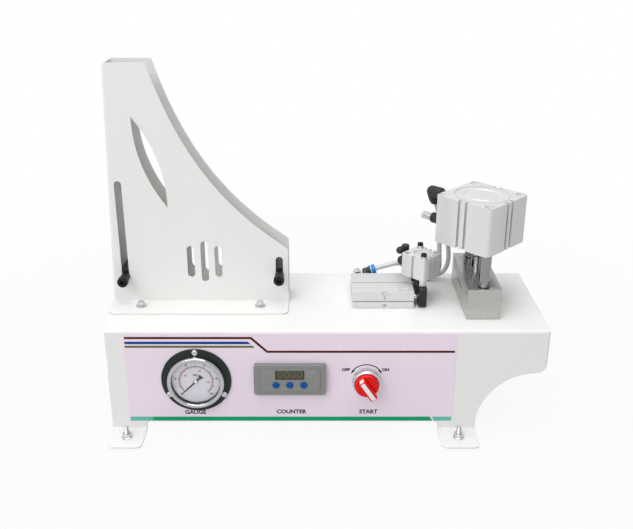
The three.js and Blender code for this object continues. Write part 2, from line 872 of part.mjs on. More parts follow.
function counterHousing() {
  const face = -counterProud;
  const frame = alongY(
    roundedRectangle(counterWidth, counterHeight, counterCorner, 0, 0, cornerSteps),
    face,
    -seatGap,
  );
  const raised = alongY(
    roundedRectangle(counterFrameWidth, counterFrameHeight, counterCorner),
    face - counterFrameRise,
    face + overrun,
  );
  const body = alongY(rectangle(counterBodyWidth, counterBodyHeight), -overrun, counterBodyDepth);
  const window = alongY(
    rectangle(displayWidth + 2 * seatGap, displayHeight + 2 * seatGap, 0, displayRise),
    face - counterFrameRise - overrun,
    face - counterFrameRise + displayRecess + displayThickness,
  );
  const wells = buttonX.map((x) => rod(
    buttonRadius + runGap,
    counterProud + counterFrameRise - buttonStem - buttonTravel - runGap,
    counterProud + counterFrameRise + overrun,
    front,
    smallSides,
    x,
    0,
    -buttonDrop,
  ));
  return cut(join(frame, raised, body), window, ...wells);
}

function counterButton() {
  const face = counterProud + counterFrameRise;
  return turned([
    [0, face - buttonStem],
    [buttonRadius, face - buttonStem],
    [buttonRadius, face + buttonProud - buttonCrown],
    [buttonRadius - buttonCrown, face + buttonProud],
    [0, face + buttonProud],
  ], front, smallSides);
}

const displayBack = -counterProud - counterFrameRise + displayRecess + displayThickness - seatGap;
const displayOutline = rectangle(displayWidth, displayHeight, 0, displayRise);
addPart(counter, 'counter_housing', counterHousing(), greyPlastic);
const counterDisplay = alongY(displayOutline, displayBack - displayThickness, displayBack);
addPart(counter, 'counter_display', counterDisplay, displayGlass);
['left', 'middle', 'right'].forEach((place, index) => {
  const button = addPart(counter, `counter_button_${place}`, counterButton(), blueRubber);
  button.position.set(buttonX[index], 0, -buttonDrop);
});

// Selector switch
const selector = panelOrigin(switchFromLeft);
const panelBack = overlayThickness + filmGap + sheet;

function switchBezel() {
  const boreBottom = switchBezelHeight - switchBoreDepth;
  return turned([
    [0, -switchBarrelLength],
    [switchBarrelRadius, -switchBarrelLength],
    [switchBarrelRadius, seatGap],
    [switchBezelRadius, seatGap],
    [switchBezelRadius, switchBezelHeight - switchBezelCrown],
    [switchBezelRadius - switchBezelCrown, switchBezelHeight],
    [switchBoreRadius, switchBezelHeight],
    [switchBoreRadius, boreBottom],
    [0, boreBottom],
  ], front, bezelSides);
}

function switchKnob() {
  const low = switchBezelHeight - switchBoreDepth + runGap;
  const discTop = low + knobDiscHeight;
  const top = discTop + knobHandleHeight;
  const disc = turned([
    [0, low],
    [knobDiscRadius, low],
    [knobDiscRadius, discTop - knobHandleTaper],
    [knobDiscRadius - knobHandleTaper, discTop],
    [0, discTop],
  ], front, roundSides);
  const handle = roundedRectangle(
    knobHandleLength,
    knobHandleWidth,
    knobHandleWidth / 2 - weld,
    knobHandleOffset,
    0,
    slotSteps,
  );
  const slab = alongY(handle, -top + knobHandleTaper, -discTop + knobHandleTaper);
  const cap = roundedRectangle(
    knobHandleLength - 2 * knobHandleTaper,
    knobHandleWidth - 2 * knobHandleTaper,
    knobHandleWidth / 2 - knobHandleTaper - weld,
    knobHandleOffset,
    0,
    slotSteps,
  );
  return join(disc, slab, alongY(cap, -top, -top + 2 * knobHandleTaper));
}

function switchContacts() {
  const near = panelBack + seatGap;
  const far = near + contactDepth;
  const block = alongY(roundedRectangle(contactWidth, contactHeight, contactCorner), near, far);
  return cut(block, rod(switchBarrelRadius + seatGap, -switchBarrelLength - seatGap, 0, front, roundSides));
}

addPart(selector, 'switch_bezel', switchBezel(), chrome);
addPart(selector, 'switch_knob', switchKnob(), redPlastic).rotation.y = -knobRestAngle;
addPart(selector, 'switch_contact_block', switchContacts(), blackPlastic);

// Roll magazine
const magazine = addGroup(deck, magazineX, magazineY);
const magazineDepth = magazineInner + 2 * sheet;

function magazineOutline() {
  const outline = new THREE.Shape();
  const width = magazineLength - sheet - magazineTopLength;
  const height = magazineHeight - sheet - magazineMouthHeight;
  const topLeft = magazineLean;
  const startX = magazineTopLength;
  const startZ = magazineHeight - sheet;
  outline.moveTo(0, 0);
  outline.lineTo(magazineLength, 0);
  outline.lineTo(magazineLength, magazineMouthHeight - sheet);
  outline.lineTo(magazineLength - sheet, magazineMouthHeight);
  outline.bezierCurveTo(
    startX + width * edgeSecondAcrossShare, startZ - height * edgeSecondDownShare,
    startX + width * edgeFirstAcrossShare, startZ - height * edgeFirstDownShare,
    startX, startZ,
  );
  outline.lineTo(magazineTopLength - sheet, magazineHeight);
  outline.lineTo(topLeft + magazineTopCorner, magazineHeight);
  outline.quadraticCurveTo(topLeft, magazineHeight, topLeft, magazineHeight - magazineTopCorner);
  return outline;
}

function leafOutline() {
  const outline = new THREE.Shape();
  const middleX = (leafTopX + leafLowX) / 2;
  const middleZ = (leafTopZ + leafLowZ) / 2;
  const length = Math.hypot(leafLowX - leafTopX, leafTopZ - leafLowZ);
  const acrossX = (leafTopZ - leafLowZ) / length * leafBulge * 2;
  const acrossZ = (leafLowX - leafTopX) / length * leafBulge * 2;
  outline.moveTo(leafTopX, leafTopZ);
  outline.quadraticCurveTo(middleX - acrossX, middleZ - acrossZ, leafLowX, leafLowZ);
  outline.quadraticCurveTo(middleX + acrossX, middleZ + acrossZ, leafTopX, leafTopZ);
  return outline;
}

function magazineShell() {
  const channel = new THREE.Shape();
  const far = magazineDepth;
  const end = magazineLength + overrun;
  const inside = bendRadius - sheet;
  channel.moveTo(end, 0);
  channel.lineTo(end, sheet);
  channel.lineTo(bendRadius, sheet);
  arc(channel, bendRadius, bendRadius, inside, -Math.PI / 2, -Math.PI, bendSteps);
  channel.lineTo(sheet, far - bendRadius);
  arc(channel, bendRadius, far - bendRadius, inside, Math.PI, Math.PI / 2, bendSteps);
  channel.lineTo(end, far - sheet);
  channel.lineTo(end, far);
  channel.lineTo(bendRadius, far);
  arc(channel, bendRadius, far - bendRadius, bendRadius, Math.PI / 2, Math.PI, bendSteps);
  channel.lineTo(0, bendRadius);
  arc(channel, bendRadius, bendRadius, bendRadius, Math.PI, Math.PI * 3 / 2, bendSteps);
  const lean = new THREE.Matrix4().makeShear(0, 0, 0, 0, magazineLean / magazineHeight, 0);
  const upright = extruded(channel, magazineHeight + overrun).translate(0, 0, seatGap);
  const walls = solid(upright.applyMatrix4(lean));
  const cutter = (outline) => alongY(outline, -overrun, far + overrun, curveSteps);
  const windows = [-1, 0, 1].map((column) => {
    const x = column * windowPitch;
    const half = Math.sqrt(windowRadius ** 2 - x ** 2);
    return cutter(uprightSlot(windowX + x, windowZ - half, windowZ + half, windowSlotWidth));
  });
  const flangeOutline = roundedRectangle(
    magazineLength,
    2 * flangeReach,
    flangeCorner,
    magazineLength / 2,
    0,
  );
  const flangeTop = seatGap + sheet;
  const flangeLimit = rectangle(
    magazineLength + 2 * overrun,
    flangeReach + sheet + overrun,
    magazineLength / 2,
    (sheet - flangeReach - overrun) / 2,
  );
  const flange = alongZ(flangeOutline, seatGap, flangeTop)
    .intersect(alongZ(flangeLimit, 0, flangeTop + overrun));
  const boltHoles = boltX.map((x) => (
    rod(boltShankRadius + boltHoleSlack, 0, flangeTop + overrun, up, smallSides, x, -boltFromFold)
  ));
  const plates = walls.intersect(alongY(magazineOutline(), -overrun, far + overrun, curveSteps));
  return cut(
    join(plates, flange),
    cutter(leafOutline()),
    cutter(uprightSlot(leftSlotX, leftSlotLow, leftSlotHigh, slotWidth)),
    cutter(uprightSlot(rightSlotX, rightSlotLow, rightSlotHigh, slotWidth)),
    ...windows,
    ...boltHoles,
  );
}

addPart(magazine, 'magazine_shell', magazineShell(), whitePaint);

function magazineBolt() {
  const seat = 2 * seatGap + sheet;
  const head = seat + boltWasherHeight;
  const washer = rod(boltWasherRadius, seat, head, up, smallSides);
  const shank = rod(boltShankRadius, head - boltLength, head, up, smallSides);
  return join(shank, washer, hexagon(boltFlats, seat, head + boltHeadHeight));
}

['left', 'right'].forEach((side, index) => {
  const bolt = addPart(magazine, `magazine_bolt_${side}`, magazineBolt(), zincSteel);
  bolt.position.set(boltX[index], -boltFromFold, 0);
});

// Roll pins in the slots, each resting on its slot's lower end
function rollPin() {
  const face = -pinProud;
  const collarEnd = -runGap;
  const nutStart = magazineDepth + runGap;
  const nutEnd = nutStart + pinNutHeight;
  const body = turned([
    [0, face],
    [pinHeadRadius - pinSocketDepth / 5, face],
    [pinHeadRadius, face + pinSocketDepth / 5],
    [pinHeadRadius, face + pinHeadHeight],
    [pinCollarRadius, face + pinHeadHeight],
    [pinCollarRadius, collarEnd],
    [pinRadius, collarEnd],
    [pinRadius, nutStart],
    [pinNutRadius, nutStart],
    [pinNutRadius, nutEnd],
    [pinRadius, nutEnd],
    [pinRadius, nutEnd + pinTail],
    [0, nutEnd + pinTail],
  ], back, smallSides);
  return cut(body, hexagon(pinSocketFlats, face - overrun, face + pinSocketDepth, back));
}

function rollSleeve() {
  const low = sheet + runGap;
  const high = sheet + magazineInner - runGap;
  const bore = pinRadius + runGap;
  return turned([
    [bore, low],
    [rollerRadius, low],
    [rollerRadius, high],
    [bore, high],
    [bore, low],
  ], back, roundSides);
}

const pinPlaces = {
  left: [leftSlotX, leftSlotLow + slotWidth / 2],
  right: [rightSlotX, rightSlotLow + slotWidth / 2],
};
Object.entries(pinPlaces).forEach(([side, [x, z]]) => {
  const place = addGroup(magazine, x, 0, z);
  addPart(place, `roll_pin_${side}`, rollPin(), blackOxide);
  addPart(place, `roll_sleeve_${side}`, rollSleeve(), blackPlastic);
});

// Feed cylinder
const feed = addGroup(deck, leftEdge + feedFromLeft, frontFace + feedFromFront);
const feedRodY = [feedDepth / 2 - feedRodSpan / 2, feedDepth / 2 + feedRodSpan / 2];
const feedRodZ = feedHeight / 2;
const feedRodInside = feedStroke + feedRodGuide;
const plateX = feedLength + feedRodExposed;
const fittingY = feedDepth + fittingReach;

function feedBody() {
  const section = roundedRectangle(feedDepth, feedHeight, feedCorner, feedDepth / 2, feedHeight / 2);
  const [before, beyond, above] = [-overrun, feedLength + overrun, feedHeight + overrun];
  const groove = (width, y, z, height) => alongX(rectangle(width, height, y, z), before, beyond);
  const block = alongX(section, 0, feedLength).translate([0, 0, seatGap]);
  const screws = [feedScrewInset, feedDepth - feedScrewInset].flatMap((y) => [
    rod(feedScrewRadius, before, above, up, smallSides, feedScrewX, y),
    rod(feedScrewSink, feedHeight - feedScrewSinkDepth, above, up, smallSides, feedScrewX, y),
  ]);
  const taps = [0, 1].map((index) => rod(
    feedTapRadius, feedHeight - feedTapDepth, above, up, smallSides,
    feedTapX + index * feedTapPitch, 2 * feedScrewInset,
  ));
  const bores = feedRodY.flatMap((y) => [
    rod(feedRodRadius + runGap, feedLength - feedRodInside, beyond, right, roundSides, 0, y, feedRodZ),
    rod(feedBossRadius, feedLength - feedBossDepth, beyond, right, roundSides, 0, y, feedRodZ),
  ]);
  const ports = [[portX, portZ], [plugX, portZ]].map(([x, z]) => (
    rod(portRadius + seatGap, feedDepth - portDepth, feedDepth + overrun, back, smallSides, x, 0, z)
  ));
  return cut(
    block,
    groove(feedGrooveWidth, feedDepth / 2, feedHeight + seatGap, 2 * feedGrooveDepth),
    groove(2 * feedGrooveDepth, 0, feedSideGrooveZ, feedSideGroove),
    groove(2 * feedGrooveDepth, feedDepth, feedSideGrooveZ - feedSideGroove, feedSideGroove),
    ...screws,
    ...taps,
    ...bores,
    ...ports,
  );
}

addPart(feed, 'feed_body', feedBody(), anodised);

function feedFitting() {
  const inside = feedDepth - portDepth + seatGap;
  const stub = rod(portRadius, inside, fittingY, back, smallSides, portX, 0, portZ);
  const place = [portX, fittingY, portZ];
  const aim = new THREE.Vector3(Math.cos(fittingTilt), 0, Math.sin(fittingTilt));
  const knuckle = turned([
    [0, -fittingStartRun],
    [fittingStartRadius, -fittingStartRun],
    [fittingEndRadius, fittingRun],
    [0, fittingRun],
  ], aim, smallSides, ...place);
  const ringEnd = fittingRun + ringLength;
  const neck = rod(ringRadius - ringNeck, 0, fittingRun + ringNeck, aim, smallSides, ...place);
  const ring = rod(ringRadius, fittingRun + ringNeck / 2, ringEnd, aim, smallSides, ...place);
  const nutEnd = fittingY - fittingRadius / 2;
  const shoulder = rod(fittingRadius, feedDepth + seatGap, nutEnd, back, hexSides, portX, 0, portZ);
  const mouth = rod(tubeRadius + seatGap, ringLength, ringEnd + overrun, aim, smallSides, ...place);
  return cut(join(stub, shoulder, knuckle, neck, ring), mouth);
}

function feedPlug() {
  const seat = feedDepth + seatGap;
  const body = turned([
    [0, feedDepth - portDepth + seatGap],
    [portRadius, feedDepth - portDepth + seatGap],
    [portRadius, seat],
    [plugHeadRadius, seat],
    [plugHeadRadius, seat + plugHeadHeight - plugHeadEase],
    [plugHeadRadius - plugHeadEase, seat + plugHeadHeight],
    [0, seat + plugHeadHeight],
  ], back, smallSides);
  const socket = [seat + plugHeadHeight - plugSocketDepth, seat + plugHeadHeight + overrun];
  return cut(body, hexagon(plugSocketFlats, ...socket, back));
}

addPart(feed, 'feed_fitting', feedFitting(), blackPlastic);
addPart(feed, 'feed_port_plug', feedPlug(), zincSteel).position.set(plugX, 0, portZ);

['front', 'rear'].forEach((place, index) => {
  const from = feedLength - feedRodInside + seatGap + overrun;
  const body = rod(feedRodRadius, from, plateX - seatGap, right, roundSides);
  addPart(feed, `feed_rod_${place}`, body, chrome).position.set(0, feedRodY[index], feedRodZ);
});

// End plate with the clamping cylinder on top, turned so that its corners face front and rear
const gripY = punchFromFront - feedFromFront;
const grip = addGroup(feed, plateX + plateThickness / 2, gripY, plateTop);

function feedPlate() {
  const middle = (plateTop + plateRise) / 2;
  const outline = roundedRectangle(feedDepth, plateTop - plateRise, plateCorner, feedDepth / 2, middle);
  const plate = alongX(outline, plateX, plateX + plateThickness);
  const taps = [-1, 1].map((side) => rod(
    gripScrewRadius + seatGap, plateTop - gripScrewBite - overrun, plateTop + overrun, up, smallSides,
    plateX + plateThickness / 2, gripY + side * gripScrewOffset,
  ));
  return cut(plate, ...taps);
}

addPart(feed, 'feed_plate', feedPlate(), blackAnodised);

function compactBody(side, height, corner, grooveWidth, grooveDepth, grooveOffsets) {
  const block = alongZ(roundedRectangle(side, side, corner), 0, height);
  const faceTurns = [0, Math.PI / 2, Math.PI, -Math.PI / 2];
  const grooves = faceTurns.flatMap((turn) => grooveOffsets.map((offset) => {
    const section = rectangle(2 * grooveDepth, grooveWidth, side / 2, offset);
    const groove = extruded(section, height + 2 * overrun);
    return solid(groove.translate(0, 0, -overrun).rotateZ(turn));
  }));
  return cut(block, ...grooves);
}

const gripBase = gripSpacer;
const gripTop = gripBase + gripHeight;

function gripBody() {
  const block = compactBody(
    gripSide, gripHeight, gripCorner, gripGrooveWidth, gripGrooveDepth, [0],
  );
  const holes = [-1, 1].map((side) => {
    const offset = side * gripScrewOffset / Math.SQRT2;
    return rod(gripHoleRadius, -overrun, gripHeight + overrun, up, smallSides, offset, offset);
  });
  const ring = turned([
    [gripRingInner, gripHeight - gripRingDepth],
    [gripRingRadius, gripHeight - gripRingDepth],
    [gripRingRadius, gripHeight + overrun],
    [gripRingInner, gripHeight + overrun],
    [gripRingInner, gripHeight - gripRingDepth],
  ]);
  const bore = rod(gripBoreRadius, -overrun, gripBoreDepth, up, roundSides);
  const ports = [gripPortHigh, gripPortLow].map((z) => (
    rod(gripPortRadius, gripSide / 2 - gripPortDepth, gripSide / 2 + overrun, back, smallSides, 0, 0, z)
  ));
  return cut(block, ring, bore, ...holes, ...ports);
}

const gripHousing = addPart(grip, 'grip_body', gripBody(), anodised);
gripHousing.position.z = gripBase;
gripHousing.rotation.z = Math.PI / 4;

function gripScrew() {
  const seat = gripTop + seatGap;
  const head = seat + gripWasherHeight;
  const headTop = head + gripHeadHeight;
  const body = turned([
    [0, -gripScrewBite],
    [gripScrewRadius, -gripScrewBite],
    [gripScrewRadius, seat],
    [gripWasherRadius, seat],
    [gripWasherRadius, head],
    [gripHeadRadius, head],
    [gripHeadRadius, headTop],
    [0, headTop],
  ], up, smallSides);
  return cut(body, hexagon(gripSocketFlats, headTop - gripSocketDepth, headTop + overrun));
}

function gripStandoff() {
  const bore = gripScrewRadius + seatGap;
  return turned([
    [bore, seatGap],
    [gripSpacerRadius, seatGap],
    [gripSpacerRadius, gripSpacer - seatGap],
    [bore, gripSpacer - seatGap],
    [bore, seatGap],
  ], up, smallSides);
}

['front', 'rear'].forEach((place, index) => {
  const y = index ? gripScrewOffset : -gripScrewOffset;
  addPart(grip, `grip_standoff_${place}`, gripStandoff(), anodised).position.y = y;
  addPart(grip, `grip_screw_${place}`, gripScrew(), blackOxide).position.y = y;
});

function gripPlunger() {
  const padTop = bandRoom + padDiscHeight;
  const top = gripBase + gripStroke + plungerGuide;
  return turned([
    [0, bandRoom],
    [padDiscRadius - padDiscEase, bandRoom],
    [padDiscRadius, bandRoom + padDiscEase],
    [padDiscRadius, padTop],
    [plungerRadius, padTop],
    [plungerRadius, top],
    [0, top],
  ]);
}

addPart(grip, 'grip_plunger', gripPlunger(), blackPlastic);

// Elbow and silencer, in a frame whose x axis leaves the face that looks back and left
const gripPorts = addGroup(grip, 0, 0, gripBase);
gripPorts.rotation.z = Math.PI * 3 / 4;
const gripFace = gripSide / 2 + seatGap;

function gripPortStub(reach) {
  const inside = gripSide / 2 - gripPortDepth + seatGap;
  const stub = rod(elbowStubRadius, inside, gripFace + reach, right, smallSides);
  return join(stub, rod(elbowNeckRadius, gripFace, gripFace + elbowStub, right, hexSides));
}

function gripElbow() {
  const kneeX = gripFace + elbowReach;
  const mouthStart = elbowArm - elbowMouthLength;
  const neck = rod(elbowNeckRadius, gripFace + elbowStub / 2, kneeX, right, smallSides);
  const knee = new THREE.SphereGeometry(elbowRadius, smallSides, smallSides / 2).translate(kneeX, 0, 0);
  const arm = rod(elbowRadius, 0, mouthStart, front, smallSides, kneeX);
  const mouth = rod(elbowMouthRadius, 0, elbowArm, front, smallSides, kneeX);
  const bore = rod(tubeRadius + seatGap, mouthStart, elbowArm + overrun, front, smallSides, kneeX);
  return cut(join(gripPortStub(elbowReach), neck, solid(knee), arm, mouth), bore);
}

function gripSilencer() {
  const barrelX = gripFace + silencerReach;
  const barrel = rod(
    silencerBarrelRadius, -silencerBarrelRadius, silencerBarrelTop, up, smallSides, barrelX,
  );
  const arm = turned([
    [0, 0],
    [silencerRadius, 0],
    [silencerRadius, silencerArm - silencerRadius],
    [silencerRadius / 2, silencerArm],
    [0, silencerArm],
  ], back, smallSides, barrelX, 0, silencerArmRise);
  return join(gripPortStub(silencerReach), barrel, arm);
}

addPart(gripPorts, 'grip_elbow', gripElbow(), blackPlastic).position.z = gripPortLow;
addPart(gripPorts, 'grip_silencer', gripSilencer(), blackPlastic).position.z = gripPortHigh;

// Die block with the slit for the band, the die land and the relief below it
const punch = addGroup(deck, punchX, punchY);
const blockTop = seatGap + blockHeight;

function dieBlock() {
  const block = alongZ(roundedRectangle(blockWidth, blockDepth, seatGap), seatGap, blockTop);
  const slitLow = bandSlitZ - bandSlitHeight / 2;
  const slit = alongX(rectangle(bandSlitWidth, bandSlitHeight, 0, bandSlitZ), -blockWidth, blockWidth);
  const guide = turned([
    [0, -overrun],
    [dieRadius + dieRelief, -overrun],
    [dieRadius + dieRelief, slitLow - dieLand],
    [dieRadius + runGap, slitLow - dieLand + dieRelief],
    [dieRadius + runGap, blockTop + overrun],
    [0, blockTop + overrun],
  ], up, roundSides);
  const pockets = [-postOffset, postOffset].map((y) => (
    rod(postPocketRadius, blockTop - postPocket, blockTop + overrun, up, roundSides, 0, y)
  ));
  return cut(block, slit, guide, ...pockets);
}

addPart(punch, 'die_block', dieBlock(), groundSteel);

['front', 'rear'].forEach((place, index) => {
  const post = rod(postRadius, blockTop - postPocket + seatGap, punchBase - seatGap, up, roundSides);
  addPart(punch, `guide_post_${place}`, post, groundSteel).position.y = index ? postOffset : -postOffset;
});

// Punch cylinder, its corners to the front and rear over the posts
function punchBody() {
  const offsets = [-punchGrooveOffset, punchGrooveOffset];
  const block = compactBody(
    punchSide, punchHeight, punchCorner, punchGrooveWidth, punchGrooveDepth, offsets,
  );
  const sinkOffset = postOffset / Math.SQRT2;
  const sinks = [-sinkOffset, sinkOffset].flatMap((x) => [-sinkOffset, sinkOffset].map((y) => (
    rod(punchSinkRadius, punchHeight - punchSinkDepth, punchHeight + overrun, up, smallSides, x, y)
  )));
  const ring = (outer, inner) => turned([
    [inner, punchHeight - punchCapDepth],
    [outer, punchHeight - punchCapDepth],
    [outer, punchHeight + overrun],
    [inner, punchHeight + overrun],
    [inner, punchHeight - punchCapDepth],
  ], up, fineSides);
  const bore = rod(punchBoreRadius, -overrun, punchBoreDepth, up, roundSides);
  const ports = [elbowPortZ, valvePortZ].map((z) => (
    rod(punchPortRadius, punchSide / 2 - punchPortDepth, punchSide / 2 + overrun, back, smallSides, 0, 0, z)
  ));
  return cut(
    block,
    ring(punchCapRadius, punchCapRadius - punchCapLand),
    ring(punchBossRadius, punchBossRadius - punchCapLand),
    bore,
    ...sinks,
    ...ports,
  );
}

const punchHousing = addPart(punch, 'punch_body', punchBody(), anodised);
punchHousing.position.z = punchBase;
punchHousing.rotation.z = Math.PI / 4;

function punchRod() {
  const tip = bandSlitZ + bandSlitHeight / 2 + punchTipGap;
  const top = punchBase + punchStroke + rodGuide;
  return turned([
    [0, tip],
    [dieRadius, tip],
    [dieRadius, rodNeckZ],
    [rodRadius, rodNeckZ + rodRadius - dieRadius],
    [rodRadius, top],
    [0, top],
  ], up, roundSides);
}

addPart(punch, 'punch_rod', punchRod(), groundSteel);

// Air elbow and flow valve, in a frame whose x axis leaves the face that looks back and left
const punchPorts = addGroup(punch, 0, 0, punchBase);
punchPorts.rotation.z = Math.PI * 3 / 4;
const portFace = punchSide / 2 + seatGap;
const portInside = punchSide / 2 - punchPortDepth + seatGap;

function punchElbow() {
  const kneeX = portFace + airElbowReach;
  const arm = turned([
    [0, portInside],
    [airElbowStubRadius, portInside],
    [airElbowStubRadius, portFace],
    [airElbowRadius, portFace],
    [airElbowRadius, portFace + airElbowRadius],
    [airElbowNeck, portFace + airElbowRadius],
    [airElbowNeck, kneeX - airElbowRadius * 2],
    [airElbowRadius, kneeX - airElbowRadius * 2],
    [airElbowRadius, kneeX],
    [0, kneeX],
  ], right, smallSides);
  const knee = new THREE.SphereGeometry(airElbowRadius, smallSides, smallSides / 2).translate(kneeX, 0, 0);
  const lean = new THREE.Vector3(0, -Math.sin(airElbowTilt), -Math.cos(airElbowTilt));
  const leg = rod(airElbowRadius, 0, airElbowDrop, lean, smallSides, kneeX);
  const mouth = rod(airElbowMouthRadius, 0, airElbowDrop + airElbowMouth, lean, smallSides, kneeX);
  const bore = rod(
    tubeRadius + seatGap, airElbowDrop, airElbowDrop + airElbowMouth + overrun, lean, smallSides, kneeX,
  );
  return cut(join(arm, solid(knee), leg, mouth), bore);
}

const valveCollarEnd = portFace + valveBodyEnd + valveCollarLength;
const valveStemEnd = valveCollarEnd + valveStemLength;

function flowValve() {
  const body = turned([
    [0, portInside],
    [airElbowStubRadius, portInside],
    [airElbowStubRadius, portFace + valveHexStart + valveHexLength],
    [valveBodyRadius, portFace + valveHexStart + valveHexLength],
    [valveBodyRadius, portFace + valveBodyEnd],
    [valveCollarRadius, portFace + valveBodyEnd],
    [valveCollarRadius, valveCollarEnd],
    [valveStemRadius, valveCollarEnd],
    [valveStemRadius, valveStemEnd],
    [0, valveStemEnd],
  ], right, smallSides);
  const nut = hexagon(valveHexFlats, portFace, portFace + valveHexStart, right);
  const outletX = portFace + valveOutletAt;
  const outlet = rod(valveOutletRadius, 0, valveOutletDrop, down, smallSides, outletX);
  const boreEnds = [valveOutletDrop - airElbowMouth, valveOutletDrop + overrun];
  const bore = rod(tubeRadius + seatGap, ...boreEnds, down, smallSides, outletX);
  return cut(join(body, nut, outlet), bore);
}

function flowKnob() {
  const outline = new THREE.Shape();
  const steps = 2 * valveKnobFlutes;
  for (let step = 0; step < steps; step += 1) {
    const radius = valveKnobRadius - (step % 2) * valveKnobFluteDepth;
    const angle = step * Math.PI * 2 / steps;
    const place = [radius * Math.cos(angle), radius * Math.sin(angle)];
    if (step === 0) outline.moveTo(...place);
    else outline.lineTo(...place);
  }
  const low = valveCollarEnd + runGap;
  const body = alongX(outline, low, low + valveKnobLength);
  const bore = rod(valveStemRadius + runGap, low - overrun, valveStemEnd + runGap, right, smallSides);
  return cut(body, bore);
}

addPart(punchPorts, 'punch_elbow', punchElbow(), blackPlastic).position.z = elbowPortZ;
addPart(punchPorts, 'flow_valve', flowValve(), blackPlastic).position.z = valvePortZ;
addPart(punchPorts, 'flow_knob', flowKnob(), zincSteel).position.z = valvePortZ;

// Air tubes and the grommet that takes them through the deck
const tubes = {
  tube_punch_upper: upperTubeRoute,
  tube_punch_lower: lowerTubeRoute,
  tube_feed: feedTubeRoute,
  tube_grip: gripTubeRoute,
};
Object.entries(tubes).forEach(([name, route]) => {
  const part = new THREE.Mesh(tube(route), tubeGrey);
  part.name = name;
  part.position.set(leftEdge, frontFace, 0);
  deck.add(part);
});

function deckGrommet() {
  const neck = grommetHoleRadius - seatGap;
  const low = -sheet - seatGap;
  return turned([
    [grommetBore, low - grommetLip],
    [grommetRadius, low - grommetLip],
    [grommetRadius, low],
    [neck, low],
    [neck, seatGap],
    [grommetRadius, seatGap],
    [grommetRadius - grommetLip / 2, seatGap + grommetLip],
    [grommetBore, seatGap + grommetLip],
    [grommetBore, low - grommetLip],
  ], up, padSides);
}

addPart(deck, 'tube_grommet', deckGrommet(), blackRubber).position.set(grommetX, grommetY, 0);

// Valve island under the deck: a manifold with its tube ports, and solenoid valves below it
function valveIsland() {
  const top = -sheet - seatGap;
  const bottom = top - islandHeight;
  const manifold = alongZ(roundedRectangle(islandWidth, islandDepth, islandCorner), bottom, top);
  const units = Array.from({ length: valveCount }, (_, index) => {
    const x = (index - (valveCount - 1) / 2) * valvePitch;
    const body = alongZ(
      roundedRectangle(valveBodyWidth, valveBodyLength, islandCorner, x),
      bottom - valveBodyHeight,
      bottom + overrun,
    );
    return join(body, rod(coilRadius, 0, valveBodyHeight + coilHeight, down, smallSides, x, 0, bottom));
  });
  const ports = [feedTubeRoute, gripTubeRoute, upperTubeRoute, lowerTubeRoute].map((route) => {
    const [, y, z] = route[route.length - 1];
    return rod(
      islandPortRadius, islandWidth / 2 - islandPortDepth, islandWidth / 2 + overrun, right, smallSides,
      0, y - islandFromFront, z,
    );
  });
  return cut(join(manifold, ...units), ...ports);
}

const island = addPart(deck, 'valve_island', valveIsland(), lightPlastic);
island.position.set(leftEdge + islandFromLeft, frontFace + islandFromFront, 0);

// Air inlet and mains gland in the rear skirt
const rearFace = -frontFace;

function airInlet() {
  const seat = seatGap;
  const shaft = rod(inletRadius, -inletInside, inletReach, back, padSides);
  const outerNut = hexagon(inletHexFlats, seat, seat + inletHexHeight, back);
  const innerNut = hexagon(inletHexFlats, -sheet - seat - inletHexHeight, -sheet - seat, back);
  const bore = rod(inletBore, inletReach - inletBoreDepth, inletReach + overrun, back, smallSides);
  return cut(join(shaft, outerNut, innerNut), bore);
}

function mainsGland() {
  const seat = seatGap;
  const dome = turned([
    [0, seat],
    [glandDomeRadius, seat + glandHexHeight],
    [glandDomeRadius, glandReach - glandDomeRadius / 2],
    [glandBore + glandLip, glandReach],
    [0, glandReach],
  ], back, padSides);
  const shaft = rod(glandRadius, -glandInside, seat + overrun, back, padSides);
  const outerNut = hexagon(glandFlats, seat, seat + glandHexHeight, back);
  const innerNut = hexagon(glandFlats, -sheet - seat - glandHexHeight, -sheet - seat, back);
  const bore = rod(glandBore, glandReach - glandBoreDepth, glandReach + overrun, back, smallSides);
  return cut(join(shaft, outerNut, innerNut, dome), bore);
}

addPart(stand, 'air_inlet', airInlet(), brass).position.set(inletX, rearFace, standHeight - inletDrop);
const gland = addPart(stand, 'mains_gland', mainsGland(), blackPlastic);
gland.position.set(glandX, rearFace, standHeight - glandDrop);

export default assembly;
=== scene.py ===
"""Edge band punch: a bent sheet stand with its panel, roll magazine, feed slide and punch cylinder.

The frame's own solids stay, take a new finish, or give way to the pieces made here."""
import math
import bmesh
import bpy
import numpy as np
from mathutils import Matrix
from mathutils.geometry import tessellate_polygon


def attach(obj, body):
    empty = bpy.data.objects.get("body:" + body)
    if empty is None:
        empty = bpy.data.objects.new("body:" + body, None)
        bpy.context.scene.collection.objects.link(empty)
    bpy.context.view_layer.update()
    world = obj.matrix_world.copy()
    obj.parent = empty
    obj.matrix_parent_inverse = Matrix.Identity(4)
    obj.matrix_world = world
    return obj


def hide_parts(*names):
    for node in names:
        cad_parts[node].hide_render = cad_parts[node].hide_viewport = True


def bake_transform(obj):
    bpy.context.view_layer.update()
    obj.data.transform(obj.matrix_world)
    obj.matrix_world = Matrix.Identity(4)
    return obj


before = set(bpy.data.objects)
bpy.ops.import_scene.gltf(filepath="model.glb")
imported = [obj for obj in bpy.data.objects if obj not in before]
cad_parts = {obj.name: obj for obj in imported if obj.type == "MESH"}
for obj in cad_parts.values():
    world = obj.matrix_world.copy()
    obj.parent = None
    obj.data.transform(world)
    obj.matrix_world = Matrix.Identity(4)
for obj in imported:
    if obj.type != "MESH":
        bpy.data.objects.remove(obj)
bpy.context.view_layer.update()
TURN = 2 * math.pi
DIAGONAL = math.sqrt(0.5)
MM = 0.001

